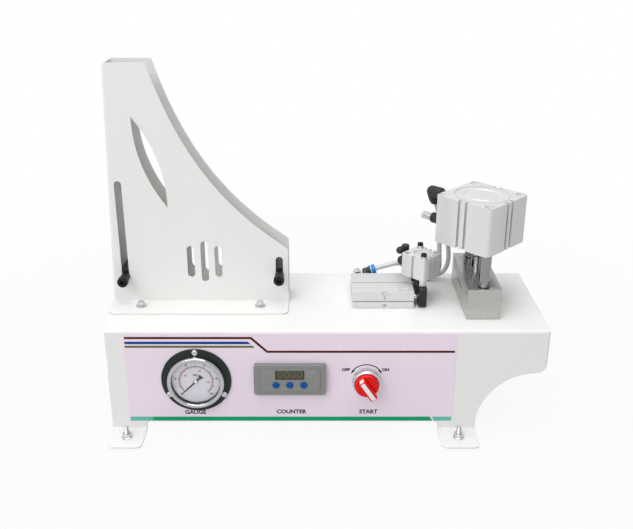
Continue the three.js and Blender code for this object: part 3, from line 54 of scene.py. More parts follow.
# Places in millimetres, in the part's frame: X to the right, Y to the back, Z up
DECK = 142.0
PANEL = -85.5
REAR = 85.0
GAUGE = (-154.25, PANEL, 76.5)
COUNTER = (-41.95, PANEL, 79.5)
SELECTOR = (49.45, PANEL, 76.5)
FEED = (34.35, -25.5, DECK)
GRIP = (120.8, 2.6, 168.0)
PUNCH = (190.25, 2.6, DECK)
GROMMET = (107.75, 62.0, DECK)
INLET = (152.25, REAR, 80.0)
GLAND = (-187.75, REAR, 72.0)
STUD_X = (-239.25, 161.25)
STUD_Y = (-104.0, 104.0)
PIN_PLACE = {"left": (-247.25, 177.5), "right": (-56.25, 179.5)}
BOLT_X = {"left": -227.25, "right": -80.25}
BOLT_Y = -23.4
MAGAZINE_FRONT = -7.4
# Heights of the air ports over the places of their cylinders
FEED_PORT = 17.8
GRIP_LOW_PORT, GRIP_HIGH_PORT = 17.8, 30.3
PUNCH_LOW_PORT, PUNCH_HIGH_PORT = 91.5, 126.0

# Centre lines of the air tubes: x from the deck's left edge, y from its front face, z from its top
TUBE_RADIUS = 3.0
TUBE_FROM = (-260.25, -85.0, DECK)
UPPER_TUBE = [
    (402.1, 144.3, 113.4), (403.8, 146, 108), (406.2, 148.2, 101), (409.5, 150.2, 91), (413.7, 150.6, 78),
    (418.5, 148.8, 64), (422.5, 146.4, 50), (424.1, 145.6, 36), (423.7, 146.2, 24), (420.1, 148, 13),
    (412.5, 150, 6), (403.5, 150.9, 3.7), (393.5, 150.9, 3.4), (384, 150.9, 4.9), (377.5, 150.9, 6.4),
    (373.1, 150.9, 3.4), (371.8, 150.9, -3), (371.7, 150.9, -10), (370.1, 150.9, -20), (363.5, 150.9, -27),
    (354.5, 150.9, -28), (346.5, 150.9, -28), (340.5, 150.9, -28),
]
LOWER_TUBE = [
    (408.57, 129.53, 83), (408.57, 129.53, 78), (408.6, 129.7, 69), (408.8, 130.2, 58), (409.5, 131.6, 45),
    (410.7, 134, 33), (411.3, 137, 22), (409.1, 140, 12.5), (402.5, 142.4, 5.6), (393.5, 143.1, 3.4),
    (384.5, 143.1, 4.6), (377.5, 143.1, 6), (373.1, 143.1, 3.2), (371.8, 143.1, -3), (371.7, 143.1, -10),
    (370.1, 143.1, -20), (363.5, 143.1, -27), (354.5, 143.1, -28), (346.5, 143.1, -28),
    (340.5, 143.1, -28),
]
FEED_TUBE = [
    (322.09, 132, 20.7), (326.8, 132, 22.4), (333, 132, 24.5), (341, 132.2, 26.7), (349, 132.8, 28.6),
    (356, 134, 29.2), (362, 136.4, 27), (365.2, 139.2, 22), (365.8, 141.6, 15.2), (364.8, 143, 8),
    (364, 143.1, 1), (363.9, 143.1, -5), (360, 143.1, -14), (352.5, 143.1, -16), (346.5, 143.1, -16),
    (340.5, 143.1, -16),
]
GRIP_TUBE = [
    (364.1, 114.9, 43.8), (366.6, 117.4, 43.8), (371.2, 121.8, 43.4), (374.9, 126.6, 41.6),
    (376.6, 132.4, 37.8), (376.8, 138, 31.4), (374.8, 143.8, 23.4), (371, 147.8, 15), (367, 150.4, 7),
    (364.2, 150.9, 0), (363.8, 150.9, -6), (360.5, 150.9, -14), (352.5, 150.9, -16), (346.5, 150.9, -16),
    (340.5, 150.9, -16),
]
ROUTES = {
    "tube_punch_upper": UPPER_TUBE, "tube_punch_lower": LOWER_TUBE,
    "tube_feed": FEED_TUBE, "tube_grip": GRIP_TUBE,
}


# Finishes
def linear(code):
    """sRGB hex to linear light: c/12.92 under 0.04045, else ((c + 0.055) / 1.055) to the power 2.4."""
    parts = np.array([int(code[k:k + 2], 16) for k in (1, 3, 5)]) / 255
    light = np.where(parts <= 0.04045, parts / 12.92, ((parts + 0.055) / 1.055) ** 2.4)
    return (*light, 1.0)


def add(tree, kind, fill=None, **settings):
    """Adds a node with its settings; each input is given a value, or linked when it is given a socket."""
    made = tree.nodes.new(kind)
    for key, value in settings.items():
        setattr(made, key, value)
    for key, value in (fill or {}).items():
        if isinstance(value, bpy.types.NodeSocket):
            tree.links.new(value, made.inputs[key])
        else:
            made.inputs[key].default_value = value
    return made


def finish(name, colour, rough, **sockets):
    """A material with its plain Principled values, its tree, its shader and its Object coordinates."""
    material = bpy.data.materials.new(name)
    material.use_nodes = True
    tree = material.node_tree
    shader = tree.nodes["Principled BSDF"]
    shader.inputs["Base Color"].default_value = linear(colour)
    shader.inputs["Roughness"].default_value = rough
    for key, value in sockets.items():
        shader.inputs[key.replace("_", " ")].default_value = value
    material.diffuse_color = linear(colour)
    place = add(tree, "ShaderNodeTexCoord").outputs["Object"]
    return material, tree, shader, place


def mottled(name, colour, second, rough, rough_span, patch, grain, depth, stretch=(1, 1, 1), **sockets):
    """Two close tones over patches, and a fine grain in roughness and height.

    patch and grain are sizes in millimetres, and depth is the grain's height in millimetres.
    Along an axis where stretch is under 1 the pattern is drawn out by its inverse."""
    material, tree, shader, place = finish(name, colour, rough, **sockets)
    scaled = add(tree, "ShaderNodeMapping", {"Vector": place, "Scale": stretch}).outputs["Vector"]
    broad = add(tree, "ShaderNodeTexNoise", {
        "Vector": scaled, "Scale": 1000 / patch, "Detail": 3.0, "Roughness": 0.55,
    })
    tone = add(tree, "ShaderNodeMix", {
        0: broad.outputs["Fac"], 6: linear(colour), 7: linear(second),
    }, data_type="RGBA")
    fine = add(tree, "ShaderNodeTexNoise", {
        "Vector": scaled, "Scale": 1000 / grain, "Detail": 4.0, "Roughness": 0.6,
    })
    span = add(tree, "ShaderNodeMapRange", {
        "Value": fine.outputs["Fac"], "From Min": 0.3, "From Max": 0.7,
        "To Min": max(rough - rough_span, 0.02), "To Max": rough + rough_span,
    })
    bump = add(tree, "ShaderNodeBump", {
        "Height": fine.outputs["Fac"], "Distance": depth * MM, "Strength": 1.0,
    })
    tree.links.new(tone.outputs[2], shader.inputs["Base Color"])
    tree.links.new(span.outputs["Result"], shader.inputs["Roughness"])
    tree.links.new(bump.outputs["Normal"], shader.inputs["Normal"])
    return material


# Powder-coated steel sheet: thick white polyester with a faint orange peel about 1.5 mm across
POWDER_COAT = mottled(
    "white powder-coated steel", "#EDEDEC", "#E7E7E5", 0.42, 0.05, 60, 1.6, 0.012, Specular_IOR_Level=0.4)
# Polyester film, printed on its back: even lilac grey, with a very slight mottle in the gloss
PANEL_FILM = mottled(
    "lilac printed polyester film", "#EFE1EE", "#EADBE8", 0.38, 0.04, 45, 2.2, 0.004, Specular_IOR_Level=0.3)


def screen_ink(name, colour, second, patch=9, shine=0.2):
    """Screen-printed ink on film: dense colour, a little uneven over patches of a few millimetres."""
    return mottled(name, colour, second, 0.5, 0.06, patch, 0.9, 0.003, Specular_IOR_Level=shine)


def dial_ink(name, colour, second):
    """Ink printed on an enamelled dial card: thin, half matt, with a fine grain."""
    return mottled(name, colour, second, 0.5, 0.05, 4, 0.8, 0.002)


MAROON_INK = screen_ink("maroon screen ink", "#4E1108", "#5A160B")
BLUE_INK = screen_ink("blue screen ink", "#133C8C", "#174296")
OLIVE_INK = screen_ink("olive screen ink", "#5E6B33", "#67743B")
GREEN_INK = screen_ink("green screen ink", "#009865", "#07A26F", 12)
# The green band's two ends in a paler teal: painted light, the band drawn lighter where it lies over the legs
BAND_END_PAINTED_LIGHT_INK = screen_ink("green band ink, painted lighter", "#4DB5A1", "#62C0AE", 12, 0.5)
LEGEND_INK = screen_ink("dark grey screen ink", "#2C2A32", "#36343C", 6)
# Anodised extruded aluminium: satin silver with die lines along the extrusion, drawn 0.7 mm apart to show
UPRIGHT_EXTRUSION = mottled(
    "anodised extrusion, upright lines", "#E2E2E2", "#D9D9D9", 0.36, 0.07, 22, 0.7, 0.005,
    stretch=(1, 1, 0.04), Metallic=0.35)
LENGTHWAYS_EXTRUSION = mottled(
    "anodised extrusion, lengthways lines", "#DDDDDD", "#D3D3D3", 0.36, 0.07, 22, 0.7, 0.005,
    stretch=(0.04, 1, 1), Metallic=0.35)
# Hard black anodised aluminium plate, with a fine blasted grain
BLACK_ANODISED = mottled(
    "black anodised aluminium", "#26272A", "#2F3033", 0.4, 0.08, 14, 0.6, 0.006, Metallic=0.6)
# Surface-ground tool steel: grey, with wheel lines across the block, drawn 0.9 mm apart to show
GROUND_STEEL = mottled(
    "surface-ground steel", "#C3C2C0", "#B9B8B6", 0.27, 0.04, 30, 0.9, 0.0015,
    stretch=(0.05, 1, 1), Metallic=0.9)
# Centreless-ground shaft: near mirror, with rings too fine to see but for their streaks; its grey is set
# darker than bare steel, as painted shade standing in for darker surroundings in its reflection
GROUND_SHAFT = mottled(
    "centreless-ground shaft", "#A2A2A2", "#929292", 0.16, 0.05, 16, 0.5, 0.002,
    stretch=(0.1, 0.1, 1), Metallic=1.0)
# Bright zinc plate on pressed steel: slightly blue-white, cloudy in patches of a few millimetres
ZINC_PLATE = mottled(
    "bright zinc-plated steel", "#DDDDDE", "#CDCED0", 0.26, 0.09, 4, 0.5, 0.006, Metallic=0.95)
# Chrome plate over a pressed brass ring: mirror with a faint haze
CHROME = mottled("polished chrome plate", "#C9C9CC", "#BEBEC2", 0.09, 0.04, 12, 0.8, 0.001, Metallic=1.0)
# Satin nickel plate on a turned ring
SATIN_NICKEL = mottled("satin nickel plate", "#E2E2E4", "#D6D6D9", 0.24, 0.06, 8, 0.6, 0.003, Metallic=0.85)
# Black oxide on socket screws: deep grey-black with oil sheen, worn lighter in spots
BLACK_OXIDE = mottled("black oxide steel", "#1E1F20", "#2C2D2E", 0.42, 0.12, 3, 0.5, 0.006, Metallic=0.7)
# Glass-filled nylon, moulded: near black, satin, with a spark-eroded grain of 0.5 mm
BLACK_NYLON = mottled("moulded black nylon", "#1B1C1E", "#242527", 0.45, 0.08, 8, 0.5, 0.015)
GREEN_NYLON = mottled("moulded green-black nylon", "#22352F", "#2A3F38", 0.42, 0.08, 8, 0.5, 0.015)
# Acetal release ring, moulded bright blue
BLUE_ACETAL = mottled("moulded blue acetal", "#0F7BD8", "#1584E2", 0.32, 0.05, 6, 0.7, 0.004)
# Vulcanised rubber, moulded: matt black with a dusty bloom
BLACK_RUBBER = mottled("moulded black rubber", "#1A1A1A", "#262625", 0.8, 0.08, 10, 0.8, 0.03)
# Pressed steel flange in green-black enamel, smooth and half gloss
GAUGE_ENAMEL = mottled(
    "green-black enamel", "#18231F", "#1D2A25", 0.4, 0.05, 14, 1.1, 0.006, Specular_IOR_Level=0.3)
# ABS counter case, moulded mid grey with a light spark grain
GREY_ABS = mottled(
    "moulded grey ABS", "#8A8C8A", "#828482", 0.48, 0.06, 20, 0.6, 0.012, Specular_IOR_Level=0.3)
# Tinted acrylic window over a liquid crystal display
DISPLAY_TINT = mottled("tinted acrylic window", "#47432F", "#3E3B29", 0.12, 0.02, 14, 2.0, 0.001)
DISPLAY_SEGMENTS = mottled("pale display segments", "#6A684E", "#727056", 0.3, 0.03, 5, 0.8, 0.001)
# Silicone keys, moulded blue and matt
BLUE_SILICONE = mottled(
    "moulded blue silicone", "#0A57A0", "#084D92", 0.5, 0.06, 5, 0.5, 0.01, Specular_IOR_Level=0.15)
# Polycarbonate knob, moulded glossy red, and the white insert snapped into its top
RED_POLYCARBONATE = mottled(
    "moulded red polycarbonate", "#E40A02", "#D80802", 0.3, 0.04, 12, 1.2, 0.003, Specular_IOR_Level=0.2,
    Coat_Weight=0.12)
WHITE_INSERT = mottled("moulded white insert", "#F3EDEE", "#EAE3E4", 0.35, 0.05, 6, 0.8, 0.004)
# Dial card in stove enamel, and the inks printed on it
DIAL_ENAMEL = mottled("white enamelled dial", "#F3EFF7", "#EAE7F3", 0.42, 0.05, 18, 1.0, 0.003)
DIAL_BLACK = dial_ink("black dial ink", "#1A1A1C", "#242427")
DIAL_RED = dial_ink("red dial ink", "#B23A36", "#BC4640")
POINTER_ENAMEL = mottled("black enamelled pointer", "#121213", "#1B1B1C", 0.4, 0.05, 4, 0.8, 0.002)
# Turned brass, left bright: warm, with tool marks round it
TURNED_BRASS = mottled("turned brass", "#C9A24C", "#BB9340", 0.26, 0.08, 6, 0.6, 0.005, Metallic=1.0)
# Nylon valve bodies, moulded warm grey
LIGHT_NYLON = mottled("moulded light grey nylon", "#D9D7CF", "#CFCDC4", 0.5, 0.06, 16, 0.7, 0.01)
# Polyurethane air tube, extruded: cloudy grey, light scattered inside, long soft gloss streaks
AIR_TUBE = mottled(
    "extruded polyurethane tube", "#D2D4D4", "#C6C9CA", 0.28, 0.05, 12, 1.5, 0.003,
    IOR=1.5, Subsurface_Weight=0.2, Subsurface_Scale=0.004)


def window_glass():
    """Float glass, ground flat: clear, with light smears left by wiping in the gloss alone."""
    material, tree, shader, place = finish(
        "float glass", "#FFFFFF", 0.03, Transmission_Weight=1.0, IOR=1.45)
    smear = add(tree, "ShaderNodeTexNoise", {"Vector": place, "Scale": 1000 / 15, "Detail": 2.0})
    haze = add(tree, "ShaderNodeMapRange", {
        "Value": smear.outputs["Fac"], "From Min": 0.4, "From Max": 0.8, "To Min": 0.01, "To Max": 0.07,
    })
    tree.links.new(haze.outputs["Result"], shader.inputs["Roughness"])
    return material


CLEAR_GLASS = window_glass()


# Surfaces: each is (points, quads), with points in metres in the part's frame
FACING = {
    "up": ((1, 0, 0), (0, 1, 0), (0, 0, 1)),
    "down": ((1, 0, 0), (0, -1, 0), (0, 0, -1)),
    "front": ((1, 0, 0), (0, 0, 1), (0, -1, 0)),
    "back": ((-1, 0, 0), (0, 0, 1), (0, 1, 0)),
    "right": ((0, 1, 0), (0, 0, 1), (1, 0, 0)),
    "left": ((0, -1, 0), (0, 0, 1), (-1, 0, 0)),
}
PORT_SIDE = ((-DIAGONAL, -DIAGONAL, 0), (0, 0, 1), (-DIAGONAL, DIAGONAL, 0))


def seat(origin, facing="up", turn=0.0):
    """Where a form sits: its origin and its across, along and outward axes, turned about the last."""
    across, along, out = np.array(FACING[facing] if isinstance(facing, str) else facing, float)
    c, s = math.cos(math.radians(turn)), math.sin(math.radians(turn))
    return np.array(origin, float), np.array([c * across + s * along, c * along - s * across, out])


def skin(grid, where, ring=False):
    """A grid of local points whose columns go round, as quads that face outwards.

    A row whose points all meet is a pole; with ring the last row joins the first."""
    origin, axes = where
    rows, columns = grid.shape[:2]
    index = np.arange(rows * columns).reshape(rows, columns)
    pole = np.ptp(grid, axis=1).max(axis=1) < 1e-6
    index[pole] = index[pole][:, :1]
    low = index if ring else index[:-1]
    high = np.roll(index, -1, axis=0) if ring else index[1:]
    quads = np.stack([low, np.roll(low, -1, 1), np.roll(high, -1, 1), high], axis=-1).reshape(-1, 4)
    return (origin + grid.reshape(-1, 3) @ axes) * MM, quads


def eased(profile, reach, steps=5):
    """Rounds a polyline's corners: each becomes a quadratic curve that starts reach before the corner.

    point(t) = (1 - t)^2 start + 2 t (1 - t) corner + t^2 end; a reach is cut to 0.45 of a short side."""
    points = np.array(profile, float)
    before, corner, after = points[:-2], points[1:-1], points[2:]
    back, ahead = before - corner, after - corner
    back_length = np.linalg.norm(back, axis=1, keepdims=True)
    ahead_length = np.linalg.norm(ahead, axis=1, keepdims=True)
    cut = np.minimum(reach, 0.45 * np.minimum(back_length, ahead_length))
    start, end = corner + back / back_length * cut, corner + ahead / ahead_length * cut
    t = np.linspace(0, 1, steps)[:, None, None]
    curve = (1 - t) ** 2 * start + 2 * t * (1 - t) * corner + t ** 2 * end
    return np.vstack([points[:1], curve.transpose(1, 0, 2).reshape(-1, 2), points[-1:]])


def turned(profile, where, sides=64, ring=False):
    """A profile of (radius, station) carried round the outward axis: (r cos a, r sin a, s).

    The angle a goes from 0 to 2 pi. A radius may be an array over it, for hexagons and knurls."""
    angle = np.arange(sides) * TURN / sides
    radius = np.array([np.broadcast_to(r, sides) for r, _ in profile], float)
    station = np.array([s for _, s in profile], float)[:, None] + np.zeros(sides)
    return skin(np.stack([radius * np.cos(angle), radius * np.sin(angle), station], axis=-1), where, ring)


def hexagon(flats, sides=96):
    """A hexagon's radius over the angle: half its flats over the cosine of the angle from a flat."""
    angle = np.arange(sides) * TURN / sides
    return flats / 2 / np.cos((angle + math.pi / 6) % (math.pi / 3) - math.pi / 6)


def nut(flats, low, high, where, bore=0.0):
    """A chamfered hexagon: the lesser radius of the hexagon and a cone from 0.96 of the flats."""
    six = hexagon(flats)
    chamfer = 0.09 * flats
    slope = np.linspace(0, 1, 4)
    cones = flats * (0.48 + 0.115 * slope)
    rise = chamfer * slope
    bottom = [(np.minimum(six, c), low + s) for c, s in zip(cones, rise)]
    top = [(np.minimum(six, c), high - s) for c, s in zip(cones[::-1], rise[::-1])]
    rows = [(bore, low), *bottom, *top, (bore, high)]
    return turned(rows, where, 96, ring=bore > 0)


def socket_cap(radius, low, high, flats, depth, where, grip=0.0):
    """A socket screw's head: an eased cylinder, knurled by cos(36 a), with a hexagonal recess."""
    angle = np.arange(96) * TURN / 96
    knurl = radius + grip * np.cos(36 * angle)
    side = eased([(0, low), (radius, low), (radius, high), (flats * 0.66, high)], 0.5, 4)
    rows = [(np.minimum(r, knurl) if r > 0.97 * radius else r, s) for r, s in side]
    six = hexagon(flats)
    rows += [(six, high - 0.15), (six, high - depth), (0, high - depth)]
    return turned(rows, where, 96)


def rounded_outline(width, height, corner, steps=6, x=0.0, y=0.0):
    """A rectangle with quarter-circle corners, as points that go round anticlockwise."""
    sweep = np.linspace(0, math.pi / 2, steps)
    starts = np.array([0, 1, 2, 3]) * math.pi / 2
    signs = np.array([[1, 1], [-1, 1], [-1, -1], [1, -1]])
    centre = signs * [width / 2 - corner, height / 2 - corner] + [x, y]
    angle = (starts[:, None] + sweep).reshape(-1)
    return np.repeat(centre, steps, axis=0) + corner * np.stack([np.cos(angle), np.sin(angle)], axis=-1)


def slab(outline, low, high, where, ease=0.0):
    """An outline carried along the outward axis, its two rims eased by insets along a quarter circle."""
    outline = np.asarray(outline, float)
    middle = outline.mean(axis=0)
    ahead, behind = np.roll(outline, -1, axis=0), np.roll(outline, 1, axis=0)
    along = ahead - behind
    inward = np.stack([-along[:, 1], along[:, 0]], axis=-1)
    inward /= np.linalg.norm(inward, axis=1, keepdims=True)
    bend = np.linspace(0, math.pi / 2, 4) if ease > 0 else np.array([math.pi / 2])
    insets = ease * (1 - np.sin(bend))
    rises = ease * (1 - np.cos(bend))
    stations = np.concatenate([[low], low + rises, high - rises[::-1], [high]])
    insets = np.concatenate([[0], insets, insets[::-1], [0]])
    rows = outline + insets[:, None, None] * inward
    rows[[0, -1]] = middle
    heights = np.tile(stations[:, None, None], (1, len(outline), 1))
    return skin(np.concatenate([rows, heights], axis=-1), where)


def strips(cells, low, high, where):
    """Thin raised marks: every cell of four corners becomes a closed box between two heights."""
    flat = np.asarray(cells, float)
    ahead = np.roll(flat, -1, axis=1)
    area = (flat[..., 0] * ahead[..., 1] - flat[..., 1] * ahead[..., 0]).sum(axis=1)
    flat[area < 0] = flat[area < 0][:, ::-1]
    base = np.concatenate([flat, np.full((*flat.shape[:2], 1), low)], axis=-1)
    top = np.concatenate([flat, np.full((*flat.shape[:2], 1), high)], axis=-1)
    points = np.concatenate([base, top], axis=1)
    box = np.array([(3, 2, 1, 0), (4, 5, 6, 7), (0, 1, 5, 4), (1, 2, 6, 5), (2, 3, 7, 6), (3, 0, 4, 7)])
    quads = (np.arange(len(flat))[:, None, None] * 8 + box).reshape(-1, 4)
    origin, axes = where
    return (origin + points.reshape(-1, 3) @ axes) * MM, quads


def flat_face(loops, station, where, down=False):
    """A flat face across the outward axis: the first loop is its rim, and the others are holes in it."""
    flat = np.concatenate(loops)
    threes = np.array(tessellate_polygon([[(x, y, 0.0) for x, y in loop] for loop in loops]))
    a, b, c = flat[threes].transpose(1, 0, 2)
    area = (b[:, 0] - a[:, 0]) * (c[:, 1] - a[:, 1]) - (b[:, 1] - a[:, 1]) * (c[:, 0] - a[:, 0])
    wrong = (area > 0) == down
    threes[wrong] = threes[wrong][:, ::-1]
    origin, axes = where
    points = np.column_stack([flat, np.full(len(flat), station)])
    return (origin + points @ axes) * MM, threes[:, [0, 1, 2, 2]]


def circle(radius, x=0.0, y=0.0, sides=64):
    """Points of a circle, anticlockwise."""
    angle = np.arange(sides) * TURN / sides
    return np.column_stack([x + radius * np.cos(angle), y + radius * np.sin(angle)])


def slotted_outline(side, corner, offsets, mouth, inner, lip, depth, steps=6):
    """A square with quarter-circle corners and T slots in its faces.

    offsets has one list of slot places for each face: the right one first, then anticlockwise."""
    half = side / 2
    sweep = np.linspace(0, math.pi / 2, steps)[:-1]
    bend = half - corner + corner * np.column_stack([np.cos(sweep), np.sin(sweep)])
    slot = np.array([(0, -mouth), (lip, -mouth), (lip, -inner), (depth, -inner),
                     (depth, inner), (lip, inner), (lip, mouth), (0, mouth)]) / (1, 2)
    outline = []
    for quarter, places in enumerate(offsets):
        face = [(half - slot[:, 0], place + slot[:, 1]) for place in places]
        face = np.vstack([np.column_stack(cut) for cut in face] + [bend])
        c, s = round(math.cos(quarter * TURN / 4)), round(math.sin(quarter * TURN / 4))
        outline.append(np.column_stack([face[:, 0] * c - face[:, 1] * s, face[:, 0] * s + face[:, 1] * c]))
    return np.vstack(outline)


def wall(outline, low, high, where):
    """The side surface of an outline carried along the outward axis, open at both ends."""
    rows = [np.column_stack([outline, np.full(len(outline), z)]) for z in (low, high)]
    return skin(np.stack(rows), where)


def smooth_line(points, per_span=8):
    """A centripetal Catmull-Rom curve: cubic Hermite spans, with knots at the roots of the distances."""
    points = np.array(points, float)
    padded = np.vstack([2 * points[0] - points[1], points, 2 * points[-1] - points[-2]])
    p0, p1, p2, p3 = padded[:-3], padded[1:-2], padded[2:-1], padded[3:]
    gap = [np.linalg.norm(b - a, axis=1, keepdims=True) ** 0.5 for a, b in ((p0, p1), (p1, p2), (p2, p3))]
    m1 = ((p1 - p0) / gap[0] - (p2 - p0) / (gap[0] + gap[1]) + (p2 - p1) / gap[1]) * gap[1]
    m2 = ((p2 - p1) / gap[1] - (p3 - p1) / (gap[1] + gap[2]) + (p3 - p2) / gap[2]) * gap[1]
    t = np.linspace(0, 1, per_span, endpoint=False)[:, None, None]
    curve = (2 * t ** 3 - 3 * t ** 2 + 1) * p1 + (t ** 3 - 2 * t ** 2 + t) * m1
    curve = curve + (3 * t ** 2 - 2 * t ** 3) * p2 + (t ** 3 - t ** 2) * m2
    return np.vstack([curve.transpose(1, 0, 2).reshape(-1, 3), points[-1:]])


def hose(line, radius, sides=28):
    """A round section carried along a line, its side axis carried on without twist, with closed ends."""
    line = np.array(line, float)
    heading = np.gradient(line, axis=0)
    heading /= np.linalg.norm(heading, axis=1, keepdims=True)
    side = np.zeros_like(line)
    side[0] = np.cross(heading[0], (0.3, 0.9, 0.2))
    for k in range(1, len(line)):
        side[k] = side[k - 1] - heading[k] * (side[k - 1] @ heading[k])
        side[k] /= np.linalg.norm(side[k])
    side[0] /= np.linalg.norm(side[0])
    other = np.cross(heading, side)
    angle = np.arange(sides) * TURN / sides
    radii = np.concatenate([[0, radius * 0.93], np.full(len(line), radius), [radius * 0.93, 0]])
    rows = np.concatenate([[0, 0], np.arange(len(line)), [len(line) - 1] * 2])
    nudge = np.zeros(len(rows))
    nudge[2], nudge[-3] = 0.2, -0.2
    ring = np.cos(angle)[:, None] * side[rows][:, None] + np.sin(angle)[:, None] * other[rows][:, None]
    grid = (line[rows] + nudge[:, None] * heading[rows])[:, None] + radii[:, None, None] * ring
    return skin(grid, seat((0, 0, 0)))


def ball(radius, where, sides=48):
    """A sphere: (r cos b cos a, r cos b sin a, r sin b)."""
    rise = np.linspace(-math.pi / 2, math.pi / 2, sides // 2)
    profile = np.column_stack([radius * np.cos(rise), radius * np.sin(rise)])
    profile[[0, -1], 0] = 0
    return turned(profile, where, sides)


# Pieces: each rides on a body of the part
def piece(name, material, slot, *shapes, body="root", replaces=None, ease=0.0):
    """Puts surfaces into one mesh at the origin, and shades it smooth but for its sharp edges.

    With ease the surfaces are joined where they meet, and their edges get a small round."""
    offsets = np.cumsum([0] + [len(points) for points, _ in shapes[:-1]])
    points = np.concatenate([points for points, _ in shapes])
    quads = np.concatenate([quads + offset for (_, quads), offset in zip(shapes, offsets)])
    if ease:
        _, first, same = np.unique(np.round(points, 7), axis=0, return_index=True, return_inverse=True)
        points, quads = points[first], same.reshape(-1)[quads]
    used, quads = np.unique(quads, return_inverse=True)
    points, quads = points[used], quads.reshape(-1, 4)
    keep = quads != np.roll(quads, -1, axis=1)
    corners = keep.sum(axis=1)
    thirds = quads[corners == 3][keep[corners == 3]].reshape(-1, 3)
    mesh = bpy.data.meshes.new(name)
    mesh.from_pydata(points.tolist(), [], quads[corners == 4].tolist() + thirds.tolist())
    return settle(name, mesh, material, body, replaces, 38, ease)


def settle(name, mesh, material, body="root", replaces=None, sharp=38, ease=0.0):
    """Links a finished mesh as a piece that rides on its body, if any, and stands for a node, if any."""
    mesh.polygons.foreach_set("use_smooth", np.ones(len(mesh.polygons), bool))
    mesh.set_sharp_from_angle(angle=math.radians(sharp))
    mesh.materials.append(material)
    made = bpy.data.objects.new(name, mesh)
    bpy.context.scene.collection.objects.link(made)
    if body:
        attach(made, body)
    if replaces:
        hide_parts(replaces)
    if ease:
        bevel = made.modifiers.new("eased edges", "BEVEL")
        bevel.width = ease * MM
        bevel.segments = 2
        bevel.limit_method = "ANGLE"
        bevel.angle_limit = math.radians(sharp)
        bevel.harden_normals = True
    return made


def dressed(node, name, material, ease, body="root"):
    """A solid of the frame with its doubles merged, its flats joined and its edges eased."""
    work = bmesh.new()
    work.from_mesh(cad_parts[node].data)
    bmesh.ops.remove_doubles(work, verts=work.verts, dist=1e-6)
    bmesh.ops.dissolve_limit(work, angle_limit=math.radians(0.6), verts=work.verts, edges=work.edges)
    mesh = bpy.data.meshes.new(name)
    work.to_mesh(mesh)
    work.free()
    mesh.materials.clear()
    return settle(name, mesh, material, body, node, 34, ease)


def lettering(name, words, size, bold, material, layer):
    """Raised words, each (text, x, y), in the plain built-in face; bold is how far outlines are set out."""
    slot, low, high, (origin, axes) = layer
    shapes = []
    for text, x, y in words:
        curve = bpy.data.curves.new(name, "FONT")
        curve.body = text
        curve.size = size
        curve.offset = bold
        curve.align_x = "CENTER"
        curve.align_y = "CENTER"
        curve.extrude = (high - low) / 2
        curve.resolution_u = 3
        holder = bpy.data.objects.new(name, curve)
        bpy.context.scene.collection.objects.link(holder)
        bpy.context.view_layer.update()
        graph = bpy.context.evaluated_depsgraph_get()
        mesh = bpy.data.meshes.new_from_object(holder.evaluated_get(graph))
        points = np.zeros(len(mesh.vertices) * 3)
        mesh.vertices.foreach_get("co", points)
        points = points.reshape(-1, 3) + (x, y, (low + high) / 2)
        mesh.vertices.foreach_set("co", ((origin + points @ axes) * MM).reshape(-1))
        shapes.append(mesh)
        bpy.data.objects.remove(holder)
        bpy.data.curves.remove(curve)
    work = bmesh.new()
    for mesh in shapes:
        work.from_mesh(mesh)
        bpy.data.meshes.remove(mesh)
    bmesh.ops.remove_doubles(work, verts=work.verts, dist=1e-6)
    joined = bpy.data.meshes.new(name)
    work.to_mesh(joined)
    work.free()
    return settle(name, joined, material)


def printed(name, material, layer, *groups):
    """Flat marks: groups of cells between the two heights of a layer, which is (slot, low, high, seat)."""
    slot, low, high, where = layer
    piece(name, material, slot, *[strips(cells, low, high, where) for cells in groups])


def stroke(line, width):
    """A drawn line as cells: its points set off by half the width along mitred normals."""
    line = np.asarray(line, float)
    step = np.diff(line, axis=0)
    normal = np.column_stack([-step[:, 1], step[:, 0]]) / np.linalg.norm(step, axis=1, keepdims=True)
    joint = np.vstack([normal[:1], normal[:-1] + normal[1:], normal[-1:]])
    joint /= np.linalg.norm(joint, axis=1, keepdims=True)
    reach = np.r_[1.0, (joint[1:-1] * normal[1:]).sum(axis=1), 1.0][:, None]
    low, high = line - joint / reach * width / 2, line + joint / reach * width / 2
    return np.stack([low[:-1], low[1:], high[1:], high[:-1]], axis=1)


def arc_points(radius, start, end, steps=40, x=0.0, y=0.0):
    """Points on a circle between two angles in degrees."""
    angle = np.radians(np.linspace(start, end, steps))
    return np.column_stack([x + radius * np.cos(angle), y + radius * np.sin(angle)])


def rays(angles, inner, outer, width):
    """Marks across a scale: at each angle in degrees a bar from the inner to the outer radius."""
    angle = np.radians(np.asarray(angles, float))[:, None]
    radial = np.array([inner, outer, outer, inner])
    aside = np.array([-1, -1, 1, 1]) * width / 2
    return np.stack([
        radial * np.cos(angle) - aside * np.sin(angle),
        radial * np.sin(angle) + aside * np.cos(angle),
    ], axis=-1)


def looped(profile, reach, steps=4):
    """Rounds every corner of a closed profile, as eased does, and leaves it closed."""
    points = np.array(profile, float)
    around = np.vstack([points[-1:], points, points[:1]])
    return eased(around, reach, steps)[1:-1]


def lathe(profile, reach, where, sides=64):
    """An open profile with its corners rounded, turned."""
    return turned(eased(profile, reach), where, sides)


def hoop(section, reach, where, sides=64):
    """A closed section with its corners rounded, turned to a ring."""
    return turned(looped(section, reach), where, sides, ring=True)


def rod(radius, low, high, reach, where, sides=64):
    """A cylinder with eased rims."""
    return lathe([(0, low), (radius, low), (radius, high), (0, high)], reach, where, sides)


def sleeve(inner, outer, low, high, reach, where, sides=64):
    """A ring of rectangular section with eased rims."""
    return hoop([(inner, low), (outer, low), (outer, high), (inner, high)], reach, where, sides)


def thread(radius, low, high, pitch, depth):
    """A thread drawn as ridges: the radius falls by depth halfway through every pitch."""
    station = np.arange(low, high, pitch / 2)
    radii = radius - depth * (np.arange(len(station)) % 2)
    return np.column_stack([radii, station]).tolist()


